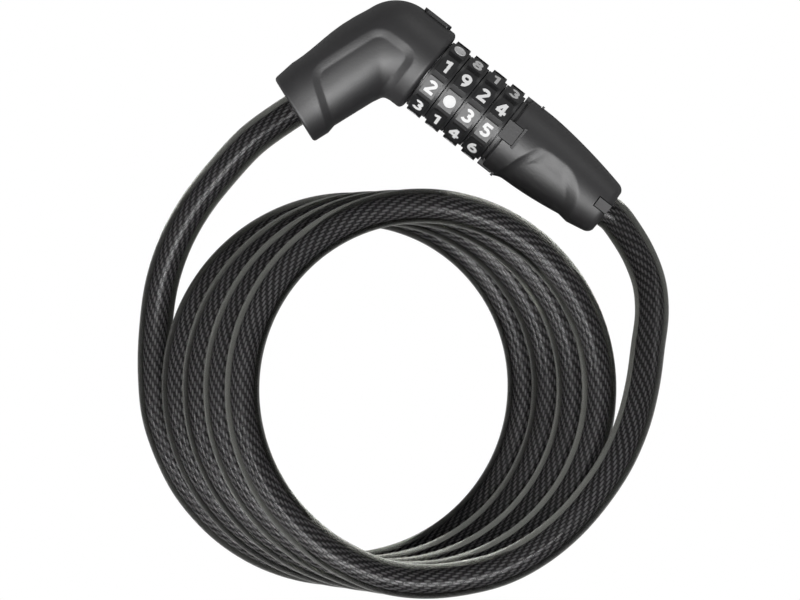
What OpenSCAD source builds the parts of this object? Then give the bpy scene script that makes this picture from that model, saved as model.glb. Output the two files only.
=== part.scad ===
// Combination cable lock: an elbow-shaped lock body with four number wheels, a plug that
// pulls out along the wheel axis, and a coiled steel cable in a plastic jacket between them.
// The wheels turn on a slotted spindle. Inside each wheel a gate ring, keyed to it, lets a
// tooth of the plug's bolt through only when its notch is on top. The change slide pushes
// all four gates out of their keys, so that a new code can be set.
// Frame: the origin is on the flat land under the elbow, +X runs along the wheel axis from
// the elbow to the plug, +Z is up, and the coil lies on the -Y side.

/* [Number wheels] */
// Width of one wheel
wheel_w = 8; // [7:0.1:10]
// Gap between two wheels
wheel_gap = 0.2; // [0.1:0.05:0.5]
// Radius of the plain rim beside the number pads
rim_r = 13.8; // [13.3:0.1:15]
// Distance of the flat number pads from the axis
pad_r = 14.9; // [14.4:0.1:16]
// Length of a number pad along the axis
pad_w = 5.7; // [4:0.1:6.5]
// Width of the grip slots between the pads
grip_slot_w = 2.3; // [1:0.1:2.8]
// Chamfer of a wheel's two rims
rim_edge = 0.15; // [0.1:0.05:0.4]
// Length of the grip slots along the axis
grip_slot_l = 6.4; // [4:0.1:6.8]
// Distance of a grip slot's floor from the axis
grip_floor_r = 13.9; // [12.6:0.1:14.2]

/* [Mechanism] */
// Radius of the bolt
bolt_r = 4.6; // [3.8:0.1:5]
// Wall of the spindle tube
spindle_wall = 1.8; // [1.5:0.1:2]
// Wall of a gate ring round its chamber
gate_wall = 1.1; // [0.8:0.05:1.4]
// Room in a gate for the bolt's tooth, outwards from the spindle
tooth_room = 1.7; // [1.4:0.1:2]
// Length of a bolt tooth along the axis
tooth_w = 2.8; // [2:0.1:3.2]
// Travel of the change slide
change_travel = 2.2; // [2:0.1:2.4]
// Play between a turning or sliding piece and what it runs on
run_play = 0.08; // [0.05:0.01:0.1]
// Play between fixed pieces and their seats
seat_play = 0.1; // [0.05:0.01:0.2]

/* [Elbow] */
// Radius of the elbow round the wheel axis
barrel_r = 16.5; // [16:0.1:20]
// Depth of the flat rest land under the elbow
land_depth = 0.4; // [0.3:0.05:0.8]
// Distance from the rest land to the face beside the first wheel
face_x = 3.4; // [3:0.1:5]
// Gap between that face and the first wheel
face_gap = 0.4; // [0.3:0.05:0.8]
// Distance from the rest land to where the arm's axis crosses the wheel axis
cross_back = 11.5; // [10:0.1:16]
// Lean of the arm away from square to the wheel axis, in degrees
arm_lean = 20; // [10:1:25]
// Length of the arm from the crossing to the cable's mouth
arm_len = 43; // [38:0.5:60]
// Half width of the arm on the inside of the bend
arm_in_w = 13.2; // [13:0.1:16]
// Half width of the arm's shoulder on the outside of the bend
arm_out_w = 14.7; // [14:0.1:18]
// Swell of the arm's outer side past the bend
arm_swell = 0.4; // [0:0.1:0.8]
// Half width of the arm at the cable's mouth
mouth_w = 12; // [11:0.1:14]
// Half height of the arm at the cable's mouth
mouth_h = 12.4; // [11.5:0.1:15]
// Depth of the finger saddles
saddle_depth = 1; // [0.5:0.1:1.2]
// Thickness of the elbow's plastic round the die-cast core
elbow_wall = 3.1; // [2.6:0.1:4]

/* [Plug] */
// Radius of the plug's cover behind the collar
cover_r = 14.95; // [14.5:0.05:17]
// Length of the plug's cover
cover_len = 45.6; // [44:0.2:56]
// How much the cover's radius falls towards the cable
cover_taper = 4.3; // [3:0.05:4.6]
// Offset of the cover's tail towards the coil
tail_drop = 0.1; // [0:0.1:0.8]
// Depth of the plug's finger saddles
plug_saddle_depth = 1.2; // [0.5:0.1:1.5]
// Width of the four snap tabs
tab_w = 7.1; // [5:0.1:8]
// Length of the four snap tabs
tab_l = 5.95; // [5:0.05:7]

/* [Cable] */
// Diameter of the cable over its jacket
cable_d = 12; // [10:0.5:12]
// Diameter of the wire rope inside the jacket
rope_d = 6.5; // [5:0.1:7]
// Radius of the coil's turns along its sideways lean
coil_a = 63.9; // [60:0.1:90]
// Radius of the coil's turns square to that lean
coil_b = 64.8; // [60:0.1:90]
// Climb of the coil in one turn
coil_pitch = 12.6; // [12.6:0.1:16]
// Sideways lean of the coil in one turn
coil_lean = 8.2; // [0:0.1:10]
// Turn at which the coil begins
turn_start = 0.1; // [0.05:0.01:0.2]
// Turn at which the coil ends
turn_end = 4.144; // [4.1:0.001:4.2]

/* [Hidden] */

$fn = 72;
eps = 1;                 // how far a cutting tool runs past the face that it cuts
press_fit = 0.02;        // gap between pieces that are pressed together
glue_gap = 0.05;         // gap round pieces that are crimped or glued in
snap_gap = 0.15;         // gap round snap tabs, lugs and keys
digits = 10;             // numbers on a wheel
wheels = 4;
step_angle = 360 / digits;

plastic = [0.13, 0.13, 0.14];
wheel_black = [0.09, 0.09, 0.10];
zinc = [0.62, 0.62, 0.64];
steel = [0.72, 0.73, 0.75];
spring_steel = [0.55, 0.56, 0.58];
jacket = [0.10, 0.10, 0.11];

// Stations along the wheel axis
axis_h = barrel_r - land_depth;
pitch = wheel_w + wheel_gap;
wheel_1_x = face_x + face_gap + wheel_w / 2;
wheels_end = wheel_1_x + (wheels - 1) * pitch + wheel_w / 2;
function wheel_x(i) = wheel_1_x + (i - 1) * pitch;

// Radii of the mechanism, from the bolt outwards
spindle_bore_r = bolt_r + seat_play;
spindle_r = spindle_bore_r + spindle_wall;
gate_bore_r = spindle_r + run_play;
chamber_r = spindle_r + tooth_room;
tooth_r = chamber_r - 0.3;
gate_r = chamber_r + gate_wall;
wheel_bore_r = gate_r + run_play;
key_h = 0.8;
key_r = gate_r + key_h;
key_w = 1.5;
key_recess_r = key_r + snap_gap;
tooth_t = 2.8;           // thickness of a bolt tooth across the spindle's slot
slot_w = tooth_t + 0.4;  // width of the spindle's slot and of every notch on it
hook_r = chamber_r + 0.1;   // outer end of those notches

// Places along a gate, from its wheel's middle
gate_left = -(pitch / 2);
gate_right = pitch / 2 - 0.05;
disc_right = gate_left + 3.5;
key_left = -wheel_w / 2 + 0.6;
key_l = 2;
groove_right = key_left + key_l + 0.1;
recess_l = key_l + 0.5;
tooth_left = disc_right + 1;

// The spring, washer and clip behind the last gate
spring_x = wheels_end + gate_right - wheel_w / 2 + press_fit;
spring_l = change_travel + 1.3;
washer_x = spring_x + spring_l + press_fit;
washer_t = 0.6;
clip_x = washer_x + washer_t + glue_gap;
clip_t = 0.8;
clip_groove_r = spindle_r - 0.6;
clip_r = spindle_r + 1.7;
clip_gap = slot_w + 0.8;
spindle_end = clip_x + clip_t + 0.9;
spindle_start = -cross_back - 1.7;
bolt_tip = face_x - 5.6;

// Detent strip in its groove under the spindle
strip_seat_r = spindle_r - 0.8;
strip_t = 0.4;
strip_w = 3;
bump_r = 0.6;
dimple_r = 0.75;

// Elbow
cross = [-cross_back, 0];
arm_dir = [-sin(arm_lean), -cos(arm_lean)];
arm_side = [-cos(arm_lean), sin(arm_lean)];   // towards the outside of the bend
arm_turn = 90 - arm_lean;
inner_round = 3;         // radius of the concave corner
core_r = barrel_r - elbow_wall;
arm_core_r = 9.4;
core_front = face_x - 0.1;
core_back = -17.2;
lip_r = core_r + 0.9;    // radius of the end face beside the first wheel
lip_chamfer = 0.95;
arm_core_end = arm_len - 4;
mouth_round = 1.2;

// Shift ring and change slider
ring_r = gate_r - 0.1;
ring_x = wheel_x(1) + gate_left - 0.05;   // right face of the ring, against the first gate
ring_l = 2.85;
web_t = 1.2;
web_x = ring_x - 3.65;
bar_in = 10.8;
bar_out = 12.6;
bar_w = 4.4;
bar_x = face_x - 10.6;
foot_w = 3;
foot_x = face_x - 7.6;   // middle of the slider's foot
plate_in = barrel_r + 0.12;
plate_out = plate_in + 1.08;
plate_w = 9;
plate_x = face_x - 14.9;
plate_l = 11.4;
plate_corner = 1.5;

// Collar and plug
slit = 0.35;             // gap between the last wheel and the collar
collar_x = wheels_end + slit;
flange_t = 1.1;
cover_x = collar_x + flange_t + 0.7;
flange_r = rim_r;
sleeve_r = cover_r - 2.25;
socket_r = gate_r + 0.3;
tab_top = cover_r - 0.15;
sleeve_end = spindle_end + 2.9;
plug_core_x = sleeve_end + 0.1;
plug_core_r = 10.1;
plug_tail_r = 8.4;
plug_core_l = 12.3;
plug_tail_x = plug_core_x + plug_core_l;
plug_core_end = plug_core_x + 28.6;
plug_end = cover_x + cover_len;
bolt_end = plug_tail_x - 0.5;
clip_ring_r = 8.4;
lug_w = 3.6;
lug_l = 5.3;
lug_r = 10.3;
lug_x = plug_end - snap_gap - lug_l;

// Ferrules
ferrule_r = 5.2;
ferrule_l = 15;
rope_r = rope_d / 2;
cable_r = cable_d / 2;
pin_r = 1.5;
elbow_ferrule_at = 13;   // along the arm
elbow_jacket_at = 30.5;
plug_ferrule_x = plug_tail_x + 0.6;
plug_jacket_x = plug_core_end + 0.7;

// ---------- small helpers ----------
function lerp(a, b, t) = a + (b - a) * t;
function clamp01(t) = min(max(t, 0), 1);
function ease(t) = let (s = clamp01(t)) s * s * (3 - 2 * s);
function sum(v) = v * [for (x = v) 1];
// The least of several distances to a pocket's edges, with the pocket's corners rounded
corner_reach = 2.2;
corner_power = 2.6;
function rounded_least(sides) = corner_reach
    - pow(sum([for (s = sides) pow(max(0, corner_reach - s), corner_power)]), 1 / corner_power);
function unit(v) = v / norm(v);
function flat2(p) = [p.x, p.y];

// Children are drawn along the wheel axis: their z runs along +X, their +x points down
// and their +y stays +Y
module along_axis(x) translate([x, 0, axis_h]) rotate([0, 90, 0]) children();

// Children are drawn along the arm's axis: their z runs towards the cable's mouth and
// their +x points down
module along_arm(a)
    translate([cross.x + arm_dir.x * a, cross.y + arm_dir.y * a, axis_h])
        rotate([0, 90, 180 + 90 - arm_lean])
            children();

module tube(outer_r, inner_r, h)
    difference() {
        cylinder(h = h, r = outer_r);
        translate([0, 0, -eps]) cylinder(h = h + 2 * eps, r = inner_r);
    }

// The notch that a bolt tooth passes through, from the axis up to radius r
module tooth_path(r, h) translate([-r, -slot_w / 2, 0]) cube([r, slot_w, h]);

// ---------- swept tubes ----------
function heading(path, i) = unit(path[min(i + 1, len(path) - 1)] - path[max(i - 1, 0)]);
// A ring of points square to the path, with a corner straight up and one straight down
function ring_at(p, t, r, sides) =
    let (side = unit(cross3(t, [0, 0, 1])), up = cross3(side, t))
    [for (j = [0 : sides - 1])
        let (a = 90 + 360 * j / sides) p + r * (cos(a) * side + sin(a) * up)];
function cross3(a, b) = [a.y * b.z - a.z * b.y, a.z * b.x - a.x * b.z, a.x * b.y - a.y * b.x];
function sweep_points(path, r, sides) =
    [for (i = [0 : len(path) - 1]) each ring_at(path[i], heading(path, i), r, sides)];
function sweep_faces(rings, sides) = [
    for (i = [0 : rings - 2], j = [0 : sides - 1])
        let (a = i * sides + j, b = i * sides + (j + 1) % sides)
        each [[a, b, b + sides], [a, b + sides, a + sides]],
    for (j = [1 : sides - 2]) [0, j + 1, j],
    for (j = [1 : sides - 2]) let (o = (rings - 1) * sides) [o, o + j, o + j + 1],
];
module swept(path, r, sides)
    polyhedron(sweep_points(path, r, sides), sweep_faces(len(path), sides), convexity = 12);
function path_length(path) = len(path) < 2 ? 0
    : [for (i = 0, s = 0; i < len(path); s = s + (i < len(path) - 1
        ? norm(path[i + 1] - path[i]) : 0), i = i + 1) s][len(path) - 1];
// Least distance between the axes of two stretches at least "apart" rings from each other
function least_gap(path, apart) = min([
    for (i = [0 : len(path) - 1 - apart], j = [i + apart : len(path) - 1])
        norm(path[i] - path[j])]);

// ---------- cable routes ----------
lean_turn = 38;          // angle from +X to the direction in which the coil leans
lean_dir = [cos(lean_turn), sin(lean_turn)];
across_dir = [-sin(lean_turn), cos(lean_turn)];
coil_mid = [46.8, -110.2];   // middle of the coil's first turn
loop_rings = 24;
coil_sides = 6;
lead_sides = 12;
// A turn lies flat for its first half and climbs over its own start in the second
function climb(t) = cable_r + coil_pitch * (floor(t) + ramp(t - floor(t)));
function ramp(f) = f < 0.5 ? 0 : (1 - cos(360 * (f - 0.5))) / 2;
function coil_point(t) =
    let (c = coil_mid + lean_dir * (coil_lean * t)
           - lean_dir * (coil_a * cos(360 * t)) - across_dir * (coil_b * sin(360 * t)))
    [c.x, c.y, climb(t)];
coil_steps = ceil((turn_end - turn_start) * loop_rings);
coil_turns = [for (i = [0 : coil_steps])
    coil_point(lerp(turn_start, turn_end, i / coil_steps))];
// Each end runs straight for one diameter, along the chord of the turn that it leaves
chord = 0.03;            // that diameter as a share of a turn
coil_in = unit(coil_point(turn_start) - coil_point(turn_start - chord));
coil_out = unit(coil_point(turn_end + chord) - coil_point(turn_end));
coil_path = concat([coil_turns[0] - coil_in * cable_d], coil_turns,
                   [coil_turns[coil_steps] + coil_out * cable_d]);

lead_straight = 3;       // a lead's first and last few millimetres, square to what they meet
elbow_mouth = [cross.x + arm_dir.x * arm_len, cross.y + arm_dir.y * arm_len, axis_h];
plug_mouth = [plug_end, 0, axis_h];
// From the elbow down to the floor and round into the first turn. The points beside a
// housing are given from its mouth, so that a longer housing takes them along
elbow_route = [
    elbow_mouth,
    elbow_mouth + [arm_dir.x, arm_dir.y, 0] * lead_straight,
    elbow_mouth + [-5.3, -17.6, -0.1],
    elbow_mouth + [-6.8, -32.6, -1.5],
    [-33.2, -89, 12], [-31, -104, 9], [-26, -118.5, 7], [-18, -132.5, 6], [-8.5, -145.5, 6],
    [3, -157.5, 6],
    coil_path[0] - coil_in * lead_straight,
    coil_path[0],
];
// From the last turn, out past the coil and down to the plug
coil_exit = coil_path[len(coil_path) - 1];
plug_route = [
    coil_exit,
    coil_exit + coil_out * lead_straight,
    [99, -149, 56.4], [111, -142, 56.4], [121.5, -132.2, 56.4], [130, -121, 56.4],
    [135.5, -108.5, 56.4], [138.5, -95, 56.2], [139.2, -81, 55.4], [138.2, -67.5, 53],
    [135, -54, 48.6], [130, -41.5, 42.4],
    plug_mouth + [39.9, -30, 19.4],
    plug_mouth + [33.9, -19, 11.9],
    plug_mouth + [26.9, -11, 5.9],
    plug_mouth + [17.9, -5.2, 2.3],
    plug_mouth + [8.9, -1.6, 0.5],
    plug_mouth + [lead_straight, 0, 0],
    plug_mouth,
];
echo("cable in the open, mm", path_length(elbow_route) + path_length(coil_path)
    + path_length(plug_route));
echo("coil's least gap to itself, mm", least_gap(coil_path, loop_rings / 2) - cable_d);

// ---------- the elbow's moulded shell ----------
// Half widths of the arm at distance a along it
function out_w(a) = a < arm_len - 8.4
    ? lerp(barrel_r + arm_swell * ease(a / 8), arm_out_w, ease((a - 11) / (arm_len - 20)))
    : lerp(arm_out_w, mouth_w + mouth_round, ease((a - arm_len + 8.4) / 8.4));
function mouth_edge(a) = let (d = clamp01((a - arm_len + mouth_round) / mouth_round))
    mouth_round * (1 - sqrt(1 - d * d));
in_edge_x = cross.x + (arm_in_w - sin(arm_lean) * barrel_r) / cos(arm_lean)
    + inner_round * tan(arm_turn / 2);
inner_mid = [in_edge_x, -barrel_r - inner_round];
inner_last = inner_mid + inner_round * [-sin(arm_turn), cos(arm_turn)];
inner_start_a = (inner_last - cross) * arm_dir;
bend_h = barrel_r - 1;
barrel_steps = 5;
bend_steps = 16;
arm_steps = 27;
half_sides = 34;
// Each station: outer point, inner point, half height, roundness of the section
barrel_stations = [
    for (s = [0, 0.5, 1]) let (r = lerp(lip_r, barrel_r - 0.1, s), x = face_x - lip_chamfer * s)
        [[x, r], [x, -r], r, 2],
    for (i = [0 : barrel_steps - 1]) let (s = i / barrel_steps)
        [[lerp(face_x - 1.6, cross.x, s), barrel_r],
         [lerp(face_x - 1.6, in_edge_x, s), -barrel_r], barrel_r, 2],
];
bend_stations = [
    for (i = [0 : bend_steps]) let (s = i / bend_steps, b = arm_turn * s)
        [cross + barrel_r * [-sin(b), cos(b)], inner_mid + inner_round * [-sin(b), cos(b)],
         lerp(barrel_r, bend_h, ease(s)), lerp(2, 2.2, s)],
];
arm_stations = [
    for (i = [1 : arm_steps])
        let (s = i / arm_steps, t = 1 - pow(1 - s, 1.15), a = arm_len * t,
             b = lerp(inner_start_a, arm_len, t), e = mouth_edge(a), f = mouth_edge(b))
        [cross + arm_dir * a + arm_side * (out_w(a) - e),
         cross + arm_dir * b - arm_side * (arm_in_w - f),
         lerp(bend_h, mouth_h, ease(t * 1.05)) - e, lerp(2.2, 2.3, t)],
];
stations = concat(barrel_stations, bend_stations, arm_stations);

// The finger saddle: how far the skin is drawn in above a place in the plan
saddle_rim = 2.9;
saddle_face = 5.8;       // its edge, from the face beside the first wheel
saddle_top = 2;          // its edge, past the wheel axis
saddle_arm = 8.9;        // its edge, from the arm's axis
saddle_end = 33.4;       // its edge, along the arm
saddle_slant = 0.26;
function saddle(p) =
    let (q = p - cross, a = q * arm_dir, b = -(q * arm_side))
    saddle_depth * clamp01(rounded_least([
        saddle_top - p.y,
        face_x - saddle_face - p.x,
        b + saddle_arm,
        saddle_end - a + saddle_slant * b,
    ] / saddle_rim));
// A point of a station's section; 0 degrees is the outside of the bend, 180 the inside
function skin(st, th, side) =
    let (mid = (st[0] + st[1]) / 2, half = (st[0] - st[1]) / 2,
         c = sign(cos(th)) * pow(abs(cos(th)), 2 / st[3]), s = pow(max(sin(th), 0), 2 / st[3]),
         out = [half.x * c, half.y * c, st[2] * s],
         drawn = out * (1 - saddle(mid + flat2(out)) / norm(out)))
    [mid.x + drawn.x, mid.y + drawn.y, max(0, axis_h + side * drawn.z)];
module elbow_half(side) {
    n = len(stations);
    m = half_sides + 1;
    points = [for (st = stations, j = [0 : half_sides]) skin(st, 180 * j / half_sides, side)];
    skin_faces = [for (i = [0 : n - 2], j = [0 : half_sides - 1]) let (a = i * m + j)
        each [[a, a + m, a + m + 1], [a, a + m + 1, a + 1]]];
    seam_faces = [for (i = [0 : n - 2]) let (a = i * m, b = a + half_sides)
        each [[a, b, b + m], [a, b + m, a + m]]];
    first_face = [for (j = [0 : half_sides]) j];
    last_face = [for (j = [0 : half_sides]) (n - 1) * m + half_sides - j];
    faces = concat(skin_faces, seam_faces, [first_face, last_face]);
    polyhedron(points, side > 0 ? faces : [for (f = faces) [for (k = [len(f) - 1 : -1 : 0]) f[k]]],
               convexity = 6);
}
// What the core, the cable and the slider's foot need clear inside the two shells
module elbow_room() {
    along_axis(core_back - seat_play) cylinder(h = face_x - core_back + 2 * eps, r = core_r + seat_play);
    along_arm(0) cylinder(h = arm_core_end + seat_play, r = arm_core_r + seat_play);
    along_arm(arm_core_end - eps) cylinder(h = 8, r = cable_r + seat_play);
    translate([foot_x - foot_w / 2 - seat_play, core_r - eps, axis_h - foot_w / 2 - seat_play])
        cube([foot_w + change_travel + 2 * seat_play, barrel_r - core_r + 2 * eps,
              foot_w + 2 * seat_play]);
}
module elbow_cover_front() color(plastic) difference() {
    elbow_half(1);
    elbow_room();
}
module elbow_cover_back() color(plastic) difference() {
    elbow_half(-1);
    elbow_room();
}

// ---------- inside the elbow ----------
module elbow_core() color(zinc) difference() {
    union() {
        along_axis(core_back) cylinder(h = core_front - core_back, r = core_r);
        along_arm(0) cylinder(h = arm_core_end, r = arm_core_r);
    }
    along_axis(spindle_start) cylinder(h = 30, r = spindle_r + press_fit);
    // counterbore for the shift ring, and the channel for its web and bar
    along_axis(web_x - 0.6) cylinder(h = 10, r = ring_r + 0.3);
    translate([bar_x - 0.4, 0, axis_h - bar_w / 2 - 0.2])
        cube([face_x - bar_x + eps, core_r + eps, bar_w + 0.4]);
    along_arm(elbow_ferrule_at) cylinder(h = ferrule_l + 2, r = ferrule_r + glue_gap);
    along_arm(elbow_ferrule_at + ferrule_l) cylinder(h = 20, r = cable_r + seat_play);
    elbow_pin_hole(arm_core_r + eps);
}
module elbow_pin_hole(reach, r = pin_r + press_fit)
    along_arm(elbow_ferrule_at + ferrule_l / 2) rotate([0, 90, 0])
        translate([0, 0, -reach]) cylinder(h = 2 * reach, r = r, $fn = 32);
module elbow_ferrule() color(steel) difference() {
    along_arm(elbow_ferrule_at + 0.1) tube(ferrule_r, rope_r + glue_gap, ferrule_l - 0.1);
    elbow_pin_hole(arm_core_r);
}
module elbow_ferrule_pin() color(steel) elbow_pin_hole(arm_core_r - 1, pin_r);
// The cable's end: the jacket up to the mouth, and the bare rope in the ferrule
module elbow_cable_stub() {
    along_arm(elbow_jacket_at) cylinder(h = arm_len - elbow_jacket_at, r = cable_r);
    along_arm(elbow_ferrule_at + 0.3) cylinder(h = elbow_jacket_at - elbow_ferrule_at, r = rope_r);
}
module cable_end_elbow() color(jacket) difference() {
    elbow_cable_stub();
    elbow_pin_hole(rope_r + eps);
}

// ---------- spindle and what sits on it ----------
module spindle() color(steel) along_axis(spindle_start) difference() {
    length = spindle_end - spindle_start;
    from_start = -spindle_start;
    cylinder(h = length, r = spindle_r);
    translate([0, 0, 3]) cylinder(h = length, r = spindle_bore_r);
    translate([0, 0, from_start + wheel_x(1) - 2]) tooth_path(spindle_r + eps, length);
    translate([strip_seat_r, -strip_w / 2 - seat_play, from_start + wheel_x(1) - 6])
        cube([2, strip_w + 2 * seat_play, wheels * pitch + 2]);
    translate([0, 0, from_start + clip_x - 0.03])
        tube(spindle_r + eps, clip_groove_r, clip_t + 0.06);
}
module detent_strip() color(spring_steel) {
    along_axis(wheel_x(1) - 5.8)
        translate([strip_seat_r + press_fit, -strip_w / 2, 0])
            cube([strip_t, strip_w, wheels * pitch + 1.6]);
    for (i = [1 : wheels])
        along_axis(wheel_x(i) - 1.8)
            translate([strip_seat_r + press_fit + bump_r, 0, 0])
                cylinder(h = 1.1, r = bump_r, $fn = 32);
}
module gate_spring() {
    wire_r = 0.5;
    turns = 2;
    mean_r = spindle_r + 0.25 + wire_r;
    rise = spring_l - 2 * wire_r - 0.1;
    steps = turns * loop_rings;
    path = [for (i = [0 : steps]) let (a = 360 * turns * i / steps)
        [spring_x + wire_r + rise * i / steps, mean_r * cos(a), axis_h + mean_r * sin(a)]];
    color(spring_steel) spring_tube(path, wire_r);
}
// A spring's rings keep one corner away from the wheel axis
module spring_tube(path, r) {
    n = len(path);
    rings = [for (i = [0 : n - 1])
        let (t = heading(path, i), out = unit([0, path[i].y, path[i].z - axis_h]),
             side = cross3(t, out))
        each [for (j = [0 : coil_sides - 1]) let (a = 360 * j / coil_sides)
            path[i] + r * (cos(a) * out + sin(a) * side)]];
    polyhedron(rings, sweep_faces(n, coil_sides), convexity = 8);
}
module end_washer() color(steel) along_axis(washer_x) difference() {
    tube(gate_r - 0.1, gate_bore_r, washer_t);
    translate([0, 0, -eps]) tooth_path(hook_r, washer_t + 2 * eps);
}
module retaining_clip() color(spring_steel) along_axis(clip_x) difference() {
    tube(clip_r, clip_groove_r + press_fit, clip_t);
    translate([-clip_r - eps, -clip_gap / 2, -eps])
        cube([clip_r + eps, clip_gap, clip_t + 2 * eps]);
}

// ---------- number wheels and gates ----------
module number_wheel(i) color(wheel_black) along_axis(wheel_x(i)) difference() {
    union() {
        translate([0, 0, -wheel_w / 2]) cylinder(h = rim_edge, r1 = rim_r - rim_edge, r2 = rim_r);
        translate([0, 0, -wheel_w / 2 + rim_edge])
            cylinder(h = wheel_w - 2 * rim_edge, r = rim_r);
        translate([0, 0, wheel_w / 2 - rim_edge])
            cylinder(h = rim_edge, r1 = rim_r, r2 = rim_r - rim_edge);
        translate([0, 0, -pad_w / 2])
            cylinder(h = pad_w, r = pad_r / cos(step_angle / 2), $fn = digits);
    }
    translate([0, 0, -wheel_w / 2 - eps]) cylinder(h = wheel_w + 2 * eps, r = wheel_bore_r);
    translate([0, 0, groove_right]) cylinder(h = recess_l, r = key_recess_r);
    for (k = [0 : digits - 1]) rotate(step_angle * k) {
        translate([wheel_bore_r - eps, -key_w / 2 - run_play, -wheel_w / 2 - eps])
            cube([key_recess_r - wheel_bore_r + eps, key_w + 2 * run_play,
                  groove_right + wheel_w / 2 + 2 * eps]);
        translate([grip_floor_r, -grip_slot_w / 2, -grip_slot_l / 2])
            cube([5, grip_slot_w, grip_slot_l]);
    }
}
module number_wheel_1() number_wheel(1);
module number_wheel_2() number_wheel(2);
module number_wheel_3() number_wheel(3);
module number_wheel_4() number_wheel(4);

module gate(i) color(zinc) along_axis(wheel_x(i)) difference() {
    union() {
        translate([0, 0, gate_left]) cylinder(h = gate_right - gate_left, r = gate_r);
        for (k = [0 : 2 : digits - 1]) rotate(step_angle * k)
            translate([gate_r - eps, -key_w / 2, key_left]) cube([key_h + eps, key_w, key_l]);
    }
    translate([0, 0, gate_left - eps])
        cylinder(h = gate_right - gate_left + 2 * eps, r = gate_bore_r);
    translate([0, 0, disc_right]) cylinder(h = gate_right - disc_right + eps, r = chamber_r);
    translate([0, 0, gate_left - eps]) tooth_path(hook_r, 3.5 + 2 * eps);
    for (k = [0 : digits - 1]) rotate(step_angle * k)
        translate([gate_bore_r, 0, gate_left - eps])
            cylinder(h = 3.5 + 2 * eps, r = dimple_r, $fn = 32);
}
module gate_1() gate(1);
module gate_2() gate(2);
module gate_3() gate(3);
module gate_4() gate(4);

// ---------- code change ----------
module shift_ring() color(zinc) difference() {
    union() {
        along_axis(ring_x - ring_l) cylinder(h = ring_l, r = ring_r);
        along_axis(web_x) cylinder(h = web_t, r = ring_r);
        translate([web_x, 0, axis_h - bar_w / 2]) cube([web_t, bar_out, bar_w]);
        translate([bar_x, bar_in, axis_h - bar_w / 2])
            cube([web_x + web_t - bar_x, bar_out - bar_in, bar_w]);
    }
    along_axis(web_x - eps) cylinder(h = 10, r = gate_bore_r);
    translate([foot_x - foot_w / 2 - seat_play, bar_in - eps, axis_h - foot_w / 2 - seat_play])
        cube([foot_w + 2 * seat_play, 5, foot_w + 2 * seat_play]);
}
// The thumb plate lies on the barrel; its corners are rounded in the side view
module change_slider() color(plastic) {
    intersection() {
        along_axis(plate_x) tube(plate_out, plate_in, plate_l);
        translate([plate_x, 0, axis_h]) rotate([-90, 0, 0]) {
            translate([plate_corner, -plate_w / 2, 0])
                cube([plate_l - 2 * plate_corner, plate_w, 30]);
            translate([0, -plate_w / 2 + plate_corner, 0])
                cube([plate_l, plate_w - 2 * plate_corner, 30]);
            for (x = [plate_corner, plate_l - plate_corner],
                 z = [-plate_w / 2 + plate_corner, plate_w / 2 - plate_corner])
                translate([x, z, 0]) cylinder(h = 30, r = plate_corner, $fn = 32);
        }
    }
    translate([foot_x - foot_w / 2, bar_in + 0.3, axis_h - foot_w / 2])
        cube([foot_w, plate_in - bar_in, foot_w]);
}

// ---------- plug ----------
tail_round = 2.6;        // the cover's rounded end
taper_start = 8;
taper_power = 1.65;      // how late the taper sets in
front_edge = 0.5;        // the chamfer behind the collar
function cover_radius(u) =
    cover_r - cover_taper * pow(max(u - taper_start, 0) / (cover_len - taper_start - 3.6), taper_power)
    - cover_edge(u) - 0.9 * max(front_edge - u, 0);
function cover_edge(u) = let (d = clamp01((u - cover_len + tail_round) / tail_round))
    0.92 * tail_round * (1 - sqrt(1 - d * d));
function tail_offset(u) = -tail_drop * ease((u - taper_start) / 14);
// The plug's finger saddle: a straight upper edge that curves down round its far end.
// Its upper and near rims run out softly into the floor, and its far rim is a plane slope
plug_saddle_top = 3.4;   // its edge, past the wheel axis
plug_saddle_near = 10.5; // its edge, from the cover's front
plug_saddle_slant = 0.33;
plug_saddle_bend = [23.5, -13];
plug_saddle_size = [12.8, plug_saddle_top + 13];
plug_rim_top = 4.4;
plug_rim_far = 4;
plug_rim_near = 6;
function run_out(t) = t < 1 ? 1 - pow(1 - t, 2) : t;
function plug_saddle(u, y) =
    let (q = [max(u - plug_saddle_bend.x, 0) / plug_saddle_size.x,
              max(y - plug_saddle_bend.y, 0) / plug_saddle_size.y],
         edge = (1 - norm(q)) * plug_saddle_size.x,
         near = u - plug_saddle_near - plug_saddle_slant * y)
    min(edge, near) <= 0 ? 0 : plug_saddle_depth * clamp01(rounded_least([
        lerp(run_out(edge / plug_rim_top), edge / plug_rim_far,
             ease((u - plug_saddle_bend.x) / 8)),
        run_out(near / plug_rim_near),
    ]));
cover_sides = 56;
cover_stations = concat([0, front_edge],
    [for (i = [1 : 25]) lerp(front_edge, cover_len - tail_round, i / 25)],
    [for (d = [0.35, 0.62, 0.82, 0.95, 1]) cover_len - tail_round * (1 - d)]);
function cover_skin(u, th) =
    let (r = cover_radius(u), y = r * sin(th), d = plug_saddle(u, y))
    [cover_x + u, tail_offset(u) + (r - d) * sin(th), axis_h + (r - d) * cos(th)];
module cover_blank() {
    n = len(cover_stations);
    m = cover_sides;
    points = [for (u = cover_stations, j = [0 : m - 1]) cover_skin(u, 360 * j / m)];
    wall = [for (i = [0 : n - 2], j = [0 : m - 1])
        let (a = i * m + j, b = i * m + (j + 1) % m)
        each [[a, b + m, a + m], [a, b, b + m]]];
    polyhedron(points, concat(wall, [[for (j = [m - 1 : -1 : 0]) j],
        [for (j = [0 : m - 1]) (n - 1) * m + j]]), convexity = 6);
}
module each_tab() for (k = [0 : 3]) along_axis(0) rotate(90 * k) children();
lip_w = tab_w + 1.6;     // the raised lip behind each tab
lip_t = 0.9;
lip_in = cover_r - 1.4;
lip_out = cover_r + 0.35;
lip_x = collar_x + tab_l + 0.25;
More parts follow.
